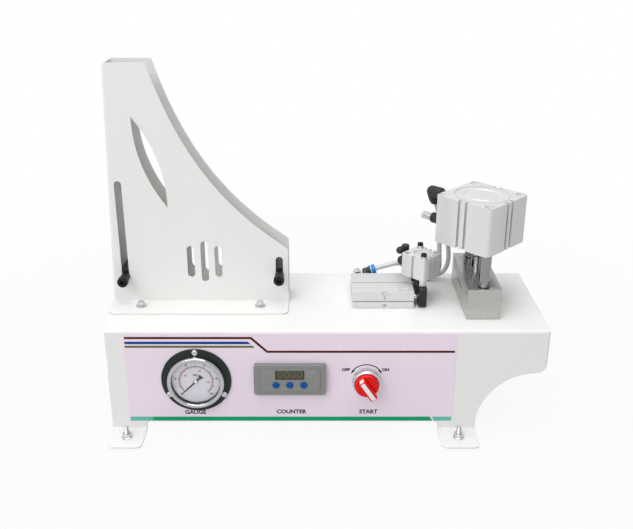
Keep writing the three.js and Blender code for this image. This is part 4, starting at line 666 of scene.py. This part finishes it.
def pan_head(radius, height, where):
    """A pan head: its height is h (1 - (r / R)^4)^0.5, less a cross 0.28 R wide and 0.45 h deep."""
    angle = np.arange(96) * TURN / 96
    r = radius * np.sin(np.linspace(0, math.pi / 2, 22))[:, None] + np.zeros(96)
    x, y = r * np.cos(angle), r * np.sin(angle)
    arm = np.minimum(np.abs(x), np.abs(y)) / (0.14 * radius)
    recess = np.clip(1.5 - arm, 0, 1) * np.clip((0.62 * radius - r) / (0.08 * radius), 0, 1)
    dome = height * np.sqrt(np.clip(1 - (r / radius) ** 4, 0, 1))
    top = np.stack([x, y, dome - 0.45 * height * recess], axis=-1)
    base = np.zeros((1, 96, 3))
    return skin(np.concatenate([base, top[::-1]]), where)


def aim(direction):
    """Axes whose outward one is a given direction."""
    out = np.array(direction, float) / np.linalg.norm(direction)
    across = np.cross(out, (0.0, 0.0, 1.0) if abs(out[2]) < 0.9 else (1.0, 0.0, 0.0))
    across /= np.linalg.norm(across)
    return across, np.cross(out, across), out


def moved(place, x=0.0, y=0.0, z=0.0):
    """A place shifted along the part's axes."""
    return place[0] + x, place[1] + y, place[2] + z


def port_seat(axis, height):
    """The seat of a port in the left rear face of a cylinder that stands turned by 45 degrees."""
    return seat(moved(axis, z=height), PORT_SIDE)


def off_port(axis, out, height):
    """A place out from the cylinder's axis on the side of its ports."""
    return moved(axis, -out * DIAGONAL, out * DIAGONAL, height)


def square_cylinder(name, axis, outline, span, cap, sink, corners, sides, bore=(), **more):
    """A slotted body turned by 45 degrees, open at the top round its cap and its screws' sinks.

    cap, sink and bore are profiles; the first two start at the rim of their opening in the top face and
    have their own number of sides, and the bore ends at its rim in the lower face."""
    here = seat(axis, turn=45)
    low, high = span
    rims = [circle(cap[0][0], sides=sides[0]), *[circle(sink[0][0], x, y, sides[1]) for x, y in corners]]
    places = [seat(here[0] + np.array((x, y, 0)) @ here[1], turn=45) for x, y in corners]
    sinks = [turned(sink, place, sides[1]) for place in places]
    lower_rim = [circle(bore[-1][0])] if bore else []
    bores = [turned(bore, here)] if bore else []
    piece(name, UPRIGHT_EXTRUSION, "anodised_aluminium", wall(outline, low, high, here),
          flat_face([outline, *lower_rim], low, here, down=True), flat_face([outline, *rims], high, here),
          turned(cap, here, sides[0]), *bores, *sinks, **more)


def refinish(node, material):
    """Gives a solid of the frame that stays its finish."""
    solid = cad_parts[node]
    solid.data.materials.clear()
    solid.data.materials.append(material)


# Stand and feet
def foot(place, x, y):
    """A rubber foot, with the threaded stud and the flange nut that hold it under a flange of the stand."""
    here = seat((x, y, 0))
    pad = [(0, 0), (10, 0), (11, 1), (9, 5.7), (0, 5.7)]
    piece(f"foot_rubber_{place}", BLACK_RUBBER, "black_rubber", lathe(pad, 0.7, here),
          replaces=f"foot_pad_{place}")
    stud = [(0, 6.05)] + thread(3.0, 6.05, 22.6, 1.0, 0.38) + [(2.2, 22.9), (0, 22.9)]
    flange = [(3.1, 8.35), (6.6, 8.35), (6.4, 9.1), (5.2, 9.7), (3.1, 9.7)]
    piece(f"foot_stud_nut_{place}", ZINC_PLATE, "zinc_steel", turned(stud, here, 40),
          hoop(flange, 0.25, here, 48), nut(10, 9.6, 13.8, here, 3.1), replaces=f"foot_stud_{place}")


dressed("base_cover", "stand_sheet", POWDER_COAT, 0.35)
refinish("panel_overlay", PANEL_FILM)
for side, x in zip(("left", "right"), STUD_X):
    for end, y in zip(("front", "rear"), STUD_Y):
        foot(f"{end}_{side}", x, y)

# Panel print: lines that swing down beside the gauge, the band below, and the legends; the band's two paler
# teal ends are painted light, the green drawn lighter where it lies over the legs
# A layer of print is its slot, its lowest and highest point over its seat, and the seat
FILM = ("overlay_film", 0.01, 0.07, seat((0, PANEL, 0), "front"))
printed("panel_line_maroon", MAROON_INK, FILM,
        stroke([(-236.5, 132.9), (-87.3, 132.9), (-68.7, 114.6), (153.5, 114.6)], 2.9))
printed("panel_line_blue", BLUE_INK, FILM,
        [[(-236.5, 124.7), (-87.8, 124.7), (-91.2, 128.1), (-236.5, 128.1)]])
printed("panel_line_olive", OLIVE_INK, FILM,
        [[(-236.5, 119.9), (-82.9, 119.9), (-85.7, 122.7), (-236.5, 122.7)]])
printed("panel_band_green", GREEN_INK, FILM,
        [[(-210.8, 18.9), (131.3, 18.9), (128.2, 24.6), (-209.2, 24.6)]])
# The band's two ends in the paler teal: painted light on the green band
printed("panel_band_painted_light_ends", BAND_END_PAINTED_LIGHT_INK, FILM,
        [[(-237.6, 18.9), (-210.9, 18.9), (-209.3, 24.6), (-237.6, 24.6)],
         [(133.6, 18.9), (154.6, 18.9), (154.6, 24.6), (130.5, 24.6)]])
LEGEND = ("overlay_film", 0.01, 0.07, seat(SELECTOR, "front"))
heads = [[(-18.6, 7.8), (-17.6, 12.2), (-13.9, 15.9), (-14.4, 11.9)],
         [(18.6, 7.8), (14.4, 11.9), (13.9, 15.9), (17.6, 12.2)]]
printed("selector_legend_arc", LEGEND_INK, LEGEND, stroke(arc_points(20.6, 138, 42), 1.3), heads)
lettering("selector_legend_words", [("OFF", -24.7, 13.6), ("ON", 22.9, 13.6)], 5.4, 0.3, LEGEND_INK, LEGEND)
words = [("GAUGE", -157.7, 31.0), ("COUNTER", -40.9, 31.6), ("START", 52.9, 31.6)]
lettering("panel_words", words, 7.6, 0.3, LEGEND_INK, FILM)

# Air gauge, whose scale goes clockwise from the lower left to the lower right
SCALE_START, SCALE_END = 225, -45
here = seat(GAUGE, "front")
DIAL = ("dial_paint", 3.11, 3.16, here)


def marks(count):
    """Angles of evenly spaced marks over the scale."""
    return SCALE_START - (SCALE_START - SCALE_END) * np.linspace(0, 1, count)


def figures(step, count, spacing, radius):
    """Multiples of step from nought round the dial, a spacing in degrees apart."""
    angles = np.radians(SCALE_START - spacing * np.arange(count))
    return [(str(step * k), radius * math.cos(a), radius * math.sin(a)) for k, a in enumerate(angles)]


case = [(0, -44), (6, -44), (6, -28), (30, -28), (30, 0.3), (42, 0.3), (42, 1.7), (30.1, 1.7), (30, 5),
        (28.8, 5), (28.8, 2), (1.2, 2), (1.2, 4.7), (0, 4.7)]
piece("gauge_flange", GAUGE_ENAMEL, "gauge_paint", lathe(case, 0.5, here, 128), replaces="gauge_case")
bezel = [(30.3, 2.0), (34.2, 2.0), (34.2, 8.2), (33.2, 10.2), (30.1, 10.5), (29, 9.4), (29, 7.7), (30.3, 7.7)]
piece("gauge_chrome_ring", CHROME, "chrome", hoop(bezel, 0.9, here, 128), replaces="gauge_bezel")
piece("gauge_card", DIAL_ENAMEL, "dial_paint", sleeve(1.5, 28.4, 2.3, 3.1, 0.1, here, 128),
      replaces="gauge_dial")
piece("gauge_window", CLEAR_GLASS, "gauge_glass", rod(29.7, 6.2, 7.4, 0.2, here, 128), replaces="gauge_lens")
printed("gauge_black_scale", DIAL_BLACK, DIAL, stroke(arc_points(19.9, SCALE_END, SCALE_START, 120), 0.45),
        rays(marks(51), 20.0, 21.3, 0.4), rays(marks(11), 20.0, 22.2, 0.7))
printed("gauge_red_scale", DIAL_RED, DIAL, stroke(arc_points(19.2, SCALE_END, SCALE_START, 120), 0.3),
        rays(marks(73), 18.0, 19.1, 0.22), rays(marks(13), 17.2, 19.1, 0.4))
lettering("gauge_black_numbers", figures(2, 6, 54, 24.4), 4.2, 0.14, DIAL_BLACK, DIAL)
lettering("gauge_red_numbers", figures(40, 4, 77, 14.2), 3.4, 0.06, DIAL_RED, DIAL)
lettering("gauge_unit", [("MPa", 0, 8.2)], 3.8, 0.1, DIAL_BLACK, DIAL)
hand = [[(0, -1.2), (23, -0.4), (23, 0.4), (0, 1.2)], [(-5, -1.1), (0, -1.2), (0, 1.2), (-5, 1.1)],
        [(-9.6, -3.3), (-5, -1.1), (-5, 1.1), (-9.6, 3.3)]]
piece("gauge_pointer", POINTER_ENAMEL, "needle_paint",
      strips(hand, 3.4, 4.0, seat(GAUGE, "front", SCALE_START)), body="needle", replaces="gauge_needle")
hub = [(0, 3.95), (2.4, 3.95), (2.3, 5.2), (1.3, 5.9), (0, 5.9)]
piece("gauge_pointer_hub", SATIN_NICKEL, "needle_paint", lathe(hub, 0.3, here, 48), body="needle")
# Three screws on a circle in the flange's front face, each with its cross turned another way
SCREW_CIRCLE, FLANGE_FRONT = 38, -1.7
for k, angle in enumerate((90, 210, 330)):
    x, z = SCREW_CIRCLE * math.cos(math.radians(angle)), SCREW_CIRCLE * math.sin(math.radians(angle))
    screw = seat(moved(GAUGE, x, FLANGE_FRONT, z), "front", 20 + 25 * k)
    piece(f"gauge_screw_{k + 1}", ZINC_PLATE, "zinc_steel", pan_head(3.8, 2.6, screw),
          rod(1.7, -6, 0, 0.2, screw, 32))

# Preset counter; a nought on its display is six bars, each from (x, y) to (x, y)
NOUGHT = ((-2.0, 3.6, 2.0, 3.6), (-2.0, -3.6, 2.0, -3.6), (-2.3, 0.3, -2.3, 3.3), (2.3, 0.3, 2.3, 3.3),
          (-2.3, -3.3, -2.3, -0.3), (2.3, -3.3, 2.3, -0.3))
dressed("counter_housing", "counter_case", GREY_ABS, 0.5)
refinish("counter_display", DISPLAY_TINT)
digits = [stroke([(x0 + x, y0 + 7.4), (x1 + x, y1 + 7.4)], 0.8)
          for x in (-11.4, -3.8, 3.8, 11.4) for x0, y0, x1, y1 in NOUGHT]
printed("counter_digits", DISPLAY_SEGMENTS, ("display_glass", 6.12, 6.18, seat(COUNTER, "front")),
        np.concatenate(digits))
key = [(0, 5), (4.1, 5), (4.1, 9.1), (3.4, 9.7), (0, 9.9)]
for place, x in zip(("left", "middle", "right"), (-16.5, 0.0, 16.5)):
    piece(f"counter_key_{place}", BLUE_SILICONE, "blue_rubber",
          lathe(key, 0.7, seat(moved(COUNTER, x, 0, -5.6), "front")), body=f"button_{place}",
          replaces=f"counter_button_{place}")

# Selector switch; at rest its knob points down to the right, 56 degrees below level
here = seat(SELECTOR, "front")
knob = seat(SELECTOR, "front", -56)
collar = [(0, -14), (10.8, -14), (10.8, 0.3), (17, 0.3), (17, 9.8), (15.8, 11.8), (14.8, 12), (14.8, 8.5),
          (0, 8.5)]
piece("selector_collar", SATIN_NICKEL, "chrome", lathe(collar, 0.7, here, 96), replaces="switch_bezel")
disc = [(0, 8.8), (14.2, 8.8), (14.2, 16.2), (13.2, 17.3), (0, 17.3)]
piece("selector_knob_moulding", RED_POLYCARBONATE, "red_plastic", lathe(disc, 0.6, here, 96),
      slab(rounded_outline(28, 9, 2.4, 8, 2.0), 17.0, 25.8, knob, 1.3), body="selector_knob",
      replaces="switch_knob")
piece("selector_knob_stripe", WHITE_INSERT, "red_plastic",
      slab(rounded_outline(25.8, 5.2, 0.8, 4, 2.0), 25.5, 25.95, knob, 0.15),
      strips([[(-12.25, -2.6), (-11.8, -2.6), (-11.8, 2.6), (-12.25, 2.6)]], 17.6, 24.8, knob),
      body="selector_knob")
dressed("switch_contact_block", "selector_contacts", BLACK_NYLON, 0.4)

# Roll magazine
dressed("magazine_shell", "magazine_sheet", POWDER_COAT, 0.35)
for side, x in BOLT_X.items():
    here = seat((x, BOLT_Y, DECK))
    shank = [(0, -8.2)] + thread(2.5, -8.2, 2.5, 0.8, 0.3) + [(2.5, 3.0), (0, 3.0)]
    piece(f"magazine_fixing_{side}", ZINC_PLATE, "zinc_steel", sleeve(2.6, 6.5, 2.6, 3.8, 0.3, here),
          nut(8, 3.8, 8.7, here), turned(shank, here, 32), replaces=f"magazine_bolt_{side}")
pin = [(0, -12.2), (5.6, -12.2), (5.6, -0.3), (4, -0.3), (4, 39.1), (7.2, 39.1), (7.2, 45.6), (4, 45.6),
       (4, 49.4), (0, 49.6)]
for side, (x, z) in PIN_PLACE.items():
    rear = seat((x, MAGAZINE_FRONT, z), "back")
    piece(f"roll_pin_screw_{side}", BLACK_OXIDE, "black_oxide_steel", lathe(pin, 0.4, rear),
          socket_cap(6.5, 12, 20, 6, 4, seat((x, MAGAZINE_FRONT, z), "front"), 0.22),
          body=f"pin_{side}", replaces=f"roll_pin_{side}")
    piece(f"roll_roller_{side}", BLACK_NYLON, "black_plastic", sleeve(4.3, 9, 2.3, 36.5, 0.6, rear),
          body=f"sleeve_{side}", replaces=f"roll_sleeve_{side}")


# Feed slide
def feed_row(x, sunk=0.0, face=0.0, shoulder=19.0, hole=0.0):
    """The slide's section at x: a screw's recess opens its front face down to a shoulder, over a hole."""
    section = [
        (0, 0.3), (57.5, 0.3), (57.5, 5.7), (55.3, 5.7), (55.3, 7.9), (57.5, 7.9), (57.5, 22.3),
        (30.1, 22.3), (30.1, 18.9), (27.4, 18.9), (27.4, 22.3), (sunk, 22.3), (sunk, shoulder),
        (face, shoulder), (face, 10.1), (2.6, 10.1), (2.6, 8.2), (0, 8.2), (0, 5.4), (hole, 5.4),
        (hole, 2.4), (0, 2.4),
    ]
    return [(y, z, x) for y, z in section]


# The body's length, and the middle of the screw's recess, about which its two ends are alike
FEED_LENGTH = 75.6
SCREW_X = 39.4
here = seat(FEED, "right")
half_slot = [feed_row(35.8, 3.2), feed_row(37.1, 3.2, 0, 17.4), feed_row(37.1, 3.2, 0, 17.4, 3),
             feed_row(38.3, 3.2, 0, 16, 3), feed_row(38.3, 3.2, 3.2, 16, 3)]
other_half = [[(y, z, 2 * SCREW_X - x) for y, z, x in row] for row in half_slot[::-1]]
rows = [feed_row(0), feed_row(35.8), *half_slot, *other_half, feed_row(43), feed_row(FEED_LENGTH)]
rows = np.array(rows, float)
piece("feed_cylinder", LENGTHWAYS_EXTRUSION, "anodised_aluminium", skin(rows, here),
      flat_face([rows[0, :, :2]], 0, here, down=True), flat_face([rows[-1, :, :2]], FEED_LENGTH, here),
      replaces="feed_body", ease=0.3)
rim = [(0, 22.1), (5.2, 22.1), (5.2, 22.8), (4.3, 22.8), (3.4, 22.4), (0, 22.4)]
for side, x in (("left", 52), ("right", 64.3)):
    piece(f"feed_top_plug_{side}", LENGTHWAYS_EXTRUSION, "anodised_aluminium",
          lathe(rim, 0.2, seat(moved(FEED, x, 6.4))))
dressed("feed_plate", "feed_end_plate", BLACK_ANODISED, 0.5, "feed_slide")
for place, y in zip(("front", "rear"), (11.75, 45.75)):
    piece(f"feed_guide_rod_{place}", CHROME, "chrome",
          rod(4, 18.9, 81.3, 0.4, seat(moved(FEED, 0, y, 11), "right")), body="feed_slide",
          replaces=f"feed_rod_{place}")
elbow = moved(FEED, 19.5, 72.5, FEED_PORT)
tilt = math.radians(20)
leaning = seat(elbow, aim((math.cos(tilt), 0, math.sin(tilt))))
knuckle = [(0, -4), (2.6, -4), (6.4, 7.8), (3.3, 7.8), (3.3, 6), (0, 6)]
neck = [(0, -20.7), (2.5, -20.7), (2.5, -3), (4.4, -3), (4.4, 4), (0, 4)]
piece("feed_elbow_body", GREEN_NYLON, "black_plastic", lathe(knuckle, 0.9, leaning, 72),
      lathe(neck, 0.5, seat(elbow, "back"), 48), replaces="feed_fitting")
piece("feed_elbow_nut", GREEN_NYLON, "black_plastic", nut(9.2, -14.6, -3.2, seat(elbow, "back"), 2.55))
piece("feed_elbow_collar", WHITE_INSERT, "black_plastic", sleeve(3.35, 5.9, 7.9, 8.8, 0.15, leaning, 72))
release = [(3.35, 8.9), (6.2, 8.9), (6.2, 13.5), (5.8, 13.7), (3.35, 13.7)]
piece("feed_elbow_release_ring", BLUE_ACETAL, "black_plastic", hoop(release, 0.35, leaning, 72))
plug = seat(moved(FEED, 8.5, 57.5, FEED_PORT), "back")
piece("feed_plug_screw", SATIN_NICKEL, "zinc_steel", socket_cap(4.9, 0.3, 16.3, 4, 2.5, plug, 0.12),
      rod(2.5, -5.7, 0.4, 0.3, plug, 48), replaces="feed_port_plug")
piece("feed_plug_seal", BLACK_RUBBER, "black_plastic", sleeve(3.7, 5.3, 0.1, 2.4, 0.5, plug))


# Clamping cylinder on the end plate
def grip_stub(height, step, end):
    """A fitting's thread, collar up to the step, and neck up to the end, in a clamping cylinder's port."""
    profile = [(0, 14.3), (2.2, 14.3), (2.2, 18.3), (4, 18.3), (4, 22.8), (3.6, step), (3.6, end), (0, end)]
    return lathe(profile, 0.3, port_seat(GRIP, height))


outline = slotted_outline(36, 2.5, [[-3.8, 3.8], [], [0], [-3.8, 3.8]], 3.6, 4.6, 1.0, 3.8)
dish = [(10.4, 36.7), (10.4, 34.6), (8.4, 34.6), (8.4, 35.2), (0, 35.2)]
square_cylinder("grip_cylinder", GRIP, outline, (8.3, 36.7), dish, [(3.2, 36.7), (3.2, 12), (0, 12)],
                [(-12.7, 12.7), (12.7, -12.7)], (64, 32), body="feed_slide", replaces="grip_body", ease=0.3)
for place, y in zip(("front", "rear"), (-18.0, 18.0)):
    here = seat(moved(GRIP, 0, y))
    piece(f"grip_spacer_{place}", UPRIGHT_EXTRUSION, "anodised_aluminium", sleeve(2.3, 4, 0.3, 8, 0.35, here),
          body="feed_slide", replaces=f"grip_standoff_{place}")
    piece(f"grip_cap_screw_{place}", BLACK_OXIDE, "black_oxide_steel",
          socket_cap(3.6, 39.6, 43.0, 3, 2, here, 0.12), rod(2, -10, 38.4, 0.3, here, 40),
          body="feed_slide", replaces=f"grip_screw_{place}")
    piece(f"grip_washer_{place}", ZINC_PLATE, "zinc_steel", sleeve(2.2, 4.5, 36.8, 37.9, 0.2, here, 48),
          sleeve(2.2, 3.8, 37.95, 39.55, 0.2, here, 48), body="feed_slide")
foot_profile = [(0, 3.5), (7, 3.5), (8, 4.5), (8, 7.5), (5, 7.5), (5, 17.3), (0, 17.3)]
piece("grip_foot", BLACK_NYLON, "black_plastic", lathe(foot_profile, 0.5, seat(GRIP)),
      body="grip_plunger_body", replaces="grip_plunger")
knee = off_port(GRIP, 31.3, GRIP_LOW_PORT)
arm = [(0, 0), (5.8, 0), (5.8, 6.6), (4.9, 7.2), (4.9, 10), (3.3, 10), (3.3, 7), (0, 7)]
piece("grip_port_elbow", BLACK_NYLON, "black_plastic", grip_stub(GRIP_LOW_PORT, 23.1, 31.3),
      ball(5.8, seat(knee)), lathe(arm, 0.5, seat(knee, aim((1, 1, 0)))), body="feed_slide",
      replaces="grip_elbow")
barrel = eased([(0, -4.8), (4.8, -4.8), (4.8, 10.5), (0, 10.5)], 2.0, 8)
arm = eased([(0, 0), (3.5, 0), (3.5, 6.2), (4.5, 7), (4.6, 12.6), (2.8, 15), (0, 15.2)], 1.4, 8)
piece("grip_port_silencer", BLACK_NYLON, "black_plastic", grip_stub(GRIP_HIGH_PORT, 23, 26.3),
      turned(barrel, seat(off_port(GRIP, 26.3, GRIP_HIGH_PORT))),
      turned(arm, seat(off_port(GRIP, 26.3, GRIP_HIGH_PORT + 5.6), aim((-1, -1, 0)))), body="feed_slide",
      replaces="grip_silencer")

# Die block, posts and punch cylinder
dressed("die_block", "die_steel", GROUND_STEEL, 0.4)
outline = slotted_outline(80, 6, [[-4.8, 4.8], [], [-4.8, 4.8], [-4.8, 4.8]], 3.6, 5.2, 1.2, 4.6)
cap = [(34, 138.7), (34, 137.5), (32.2, 137.5), (32.2, 138.5), (22.5, 138.5), (21.8, 137.8), (20.4, 137.8),
       (19.7, 138.5), (0, 138.5)]
sink = [(6.2, 138.7), (6.2, 136.4), (3.4, 136.4), (3.4, 131), (0, 131)]
square_cylinder("punch_cylinder", PUNCH, outline, (78.7, 138.7), cap, sink,
                [(x, y) for x in (-33.1, 33.1) for y in (-33.1, 33.1)], (96, 48),
                [(0, 104.7), (10.8, 104.7), (10.8, 78.7)], replaces="punch_body", ease=0.35)
for place, y in zip(("front", "rear"), (-46.8, 46.8)):
    piece(f"punch_post_{place}", GROUND_SHAFT, "ground_steel",
          rod(7, 37.6, 78.4, 0.5, seat(moved(PUNCH, 0, y)), 72), replaces=f"guide_post_{place}")
ram = [(0, 23.8), (8, 23.8), (8, 60), (10, 62), (10, 98.7), (0, 98.7)]
piece("punch_ram_rod", GROUND_SHAFT, "ground_steel", lathe(ram, 0.3, seat(PUNCH), 72), body="punch_ram",
      replaces="punch_rod")
arm = [(0, 33.3), (6, 33.3), (6, 40.3), (7.5, 40.3), (7.5, 47.8), (5.2, 48.4), (5.2, 59), (7.5, 60),
       (7.5, 74.3), (0, 74.3)]
knee = off_port(PUNCH, 74.3, PUNCH_HIGH_PORT)
lean = math.radians(25)
down_leg = seat(knee, aim((math.sin(lean) * DIAGONAL, math.sin(lean) * DIAGONAL, -math.cos(lean))))
leg = [(0, 0), (7.5, 0), (7.5, 12.6), (6.4, 13.2), (6.4, 17), (3.3, 17), (3.3, 13), (0, 13)]
piece("punch_elbow_body", BLACK_NYLON, "black_plastic",
      lathe(arm, 0.8, port_seat(PUNCH, PUNCH_HIGH_PORT), 72), ball(7.5, seat(knee)),
      lathe(leg, 0.7, down_leg, 72), replaces="punch_elbow")
port = port_seat(PUNCH, PUNCH_LOW_PORT)
barrel = [(0, 45), (5.9, 45), (5.9, 51.3), (6.8, 51.6), (6.8, 71.6), (6.2, 72.3), (0, 72.3)]
outlet = [(0, 0), (5.6, 0), (5.6, 11.4), (5, 12), (3.3, 12), (3.3, 8), (0, 8)]
piece("flow_valve_body", BLACK_NYLON, "black_plastic", lathe(barrel, 0.5, port, 72),
      lathe(outlet, 0.5, seat(off_port(PUNCH, 59.3, PUNCH_LOW_PORT), "down")), replaces="flow_valve")
stem = [(0, 72), (4.6, 72), (4.6, 75.3), (1.8, 75.3), (1.8, 79.3), (0, 79.3)]
piece("flow_valve_metal", SATIN_NICKEL, "zinc_steel", nut(14, 40.3, 46.3, port),
      rod(6, 33.3, 41, 0.4, port), lathe(stem, 0.3, port, 48))
flutes = 4.75 + 0.15 * np.cos(16 * np.arange(96) * TURN / 96)
fluted = [(2.1, 75.6), (4.2, 75.6), (4.7, 76.1), *[(flutes, s) for s in (76.3, 80, 84, 86.9)],
          (4.6, 87.2), (4.1, 87.6), (0, 87.6), (0, 79.6), (2.1, 79.6), (2.1, 75.6)]
piece("flow_knob_turned", SATIN_NICKEL, "zinc_steel", turned(fluted, port, 96), body="valve_knob",
      replaces="flow_knob")

# Air tubes, their grommet, and what is under and behind the deck
for node, route in ROUTES.items():
    bends = node == "tube_grip"
    line = smooth_line(route) + np.array(TUBE_FROM)
    made = piece(f"air_{node}", AIR_TUBE, "air_tube", hose(line, TUBE_RADIUS),
                 body=None if bends else "root", replaces=node)
    if bends:
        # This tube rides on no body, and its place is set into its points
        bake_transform(made)
lip = [(10.5, -3.8), (15, -3.8), (15, -2.3), (12.2, -2.3), (12.2, 0.3), (15, 0.3), (14.2, 1.8), (10.5, 1.8)]
piece("deck_grommet", BLACK_RUBBER, "black_rubber", hoop(lip, 0.5, seat(GROMMET), 72),
      replaces="tube_grommet")
dressed("valve_island", "solenoid_valves", LIGHT_NYLON, 0.5)


def bulkhead(name, material, slot, place, profile, flats, bore, node):
    """A threaded fitting through the rear skirt, with a nut on each side of the sheet."""
    here = seat(place, "back")
    piece(name, material, slot, turned(profile, here, 72), nut(flats, 0.3, 6.3, here, bore),
          nut(flats, -8.3, -2.3, here, bore), replaces=node)


spigot = [(7.2, 7), (7.2, 14.6), (6.2, 16), (4, 16), (4, 4), (0, 4)]
bulkhead("air_inlet_connector", TURNED_BRASS, "brass", INLET,
         [(0, -18)] + thread(8, -18, 7, 1.3, 0.5) + spigot, 20, 7.9, "air_inlet")
dome = [(6, 6), (7.9, 6.4), (7.9, 12.5), (7.1, 14.8), (4.6, 17), (3.5, 17), (3.5, 3), (0, 3)]
bulkhead("mains_cable_gland", BLACK_NYLON, "black_plastic", GLAND,
         [(0, -10)] + thread(6, -10, 5, 1.2, 0.4) + dome, 18, 5.9, "mains_gland")


# Floor, light and camera
def seen_white(tree, lit, white, share):
    """Mixes a lit shader with white: wholly for the camera and through glass, half in mirror images."""
    path = add(tree, "ShaderNodeLightPath")
    seen = add(tree, "ShaderNodeMath", {
        0: path.outputs["Is Camera Ray"], 1: path.outputs["Is Transmission Ray"]}, operation="MAXIMUM")
    mirrored = add(tree, "ShaderNodeMath", {0: path.outputs["Is Glossy Ray"], 1: 0.5}, operation="MULTIPLY")
    either = add(tree, "ShaderNodeMath", {0: seen.outputs[0], 1: mirrored.outputs[0]}, operation="MAXIMUM")
    whole = add(tree, "ShaderNodeMath", {0: either.outputs[0], 1: share}, operation="MULTIPLY")
    return add(tree, "ShaderNodeMixShader", {0: whole.outputs[0], 1: lit, 2: white})


floor_paint = bpy.data.materials.new("white seamless floor")
floor_paint.use_nodes = True
tree = floor_paint.node_tree
shader = tree.nodes["Principled BSDF"]
shader.inputs["Base Color"].default_value = linear("#C8C8C8")
shader.inputs["Roughness"].default_value = 0.9
glow = add(tree, "ShaderNodeEmission", {"Color": (1, 1, 1, 1), "Strength": 1.0})
# The floor is seen nearly white round the part, so that its shadow shows, and wholly white further off
place = add(tree, "ShaderNodeTexCoord").outputs["Object"]
away = add(tree, "ShaderNodeVectorMath", {0: place}, operation="LENGTH").outputs["Value"]
whole = add(tree, "ShaderNodeMapRange", {
    "Value": away, "From Min": 0.4, "From Max": 1.2, "To Min": 0.93, "To Max": 1.0,
})
blended = seen_white(tree, shader.outputs["BSDF"], glow.outputs["Emission"], whole.outputs["Result"])
tree.links.new(blended.outputs[0], tree.nodes["Material Output"].inputs["Surface"])
span = np.array([(-7, -4, 0), (7, -4, 0), (7, 14, 0), (-7, 14, 0)], float)
mesh = bpy.data.meshes.new("floor")
mesh.from_pydata(span.tolist(), [], [(0, 1, 2, 3)])
mesh.materials.append(floor_paint)
floor = bpy.data.objects.new("floor", mesh)
bpy.context.scene.collection.objects.link(floor)

world = bpy.data.worlds.new("white room")
world.use_nodes = True
bpy.context.scene.world = world
tree = world.node_tree
# The room's light is brightest on the left: its level ahead, and what it gains to the right and upward
AHEAD, ACROSS, UPWARD = 0.54, -0.48, 0.05
soft = tree.nodes["Background"]
soft.inputs["Color"].default_value = (1, 1, 1, 1)
way = add(tree, "ShaderNodeSeparateXYZ", {0: add(tree, "ShaderNodeTexCoord").outputs["Generated"]})
side = add(tree, "ShaderNodeMath", {0: way.outputs["X"], 1: ACROSS, 2: AHEAD}, operation="MULTIPLY_ADD")
level = add(tree, "ShaderNodeMath", {
    0: way.outputs["Z"], 1: UPWARD, 2: side.outputs[0]}, operation="MULTIPLY_ADD")
tree.links.new(level.outputs[0], soft.inputs["Strength"])
plain = add(tree, "ShaderNodeBackground", {"Color": (1, 1, 1, 1), "Strength": 1.0})
blended = seen_white(tree, soft.outputs[0], plain.outputs[0], 1.0)
tree.links.new(blended.outputs[0], tree.nodes["World Output"].inputs["Surface"])


def softbox(name, place, size, power, towards=(0.0, 0.0, 0.12)):
    """A square area lamp that faces a point, with its places and side in metres and its power in watts."""
    lamp = bpy.data.lights.new(name, "AREA")
    lamp.size = size
    lamp.energy = power
    holder = bpy.data.objects.new(name, lamp)
    across, along, out = aim(np.array(place) - np.array(towards))
    rows = [[*row, shift] for row, shift in zip(np.column_stack([across, along, out]).tolist(), place)]
    holder.matrix_world = Matrix([*rows, [0, 0, 0, 1]])
    bpy.context.scene.collection.objects.link(holder)


softbox("key light", (-1.3, -2.0, 2.0), 1.4, 23)
softbox("top light", (0.1, -0.2, 2.0), 1.3, 18)
softbox("front light", (0.1, -2.6, 1.6), 1.0, 6)

# The camera was fitted to the stand's edges in the photograph
camera = bpy.data.cameras.new("camera")
camera.sensor_width = 36
camera.sensor_fit = "HORIZONTAL"
camera.lens = 46.64
camera.shift_y = -0.0387
holder = bpy.data.objects.new("camera", camera)
holder.location = (-0.01025, -0.9392, 0.5929)
holder.rotation_euler = (math.radians(90 - 21.5), 0, 0)
bpy.context.scene.collection.objects.link(holder)
bpy.context.scene.camera = holder
bpy.context.scene.view_settings.view_transform = "Standard"
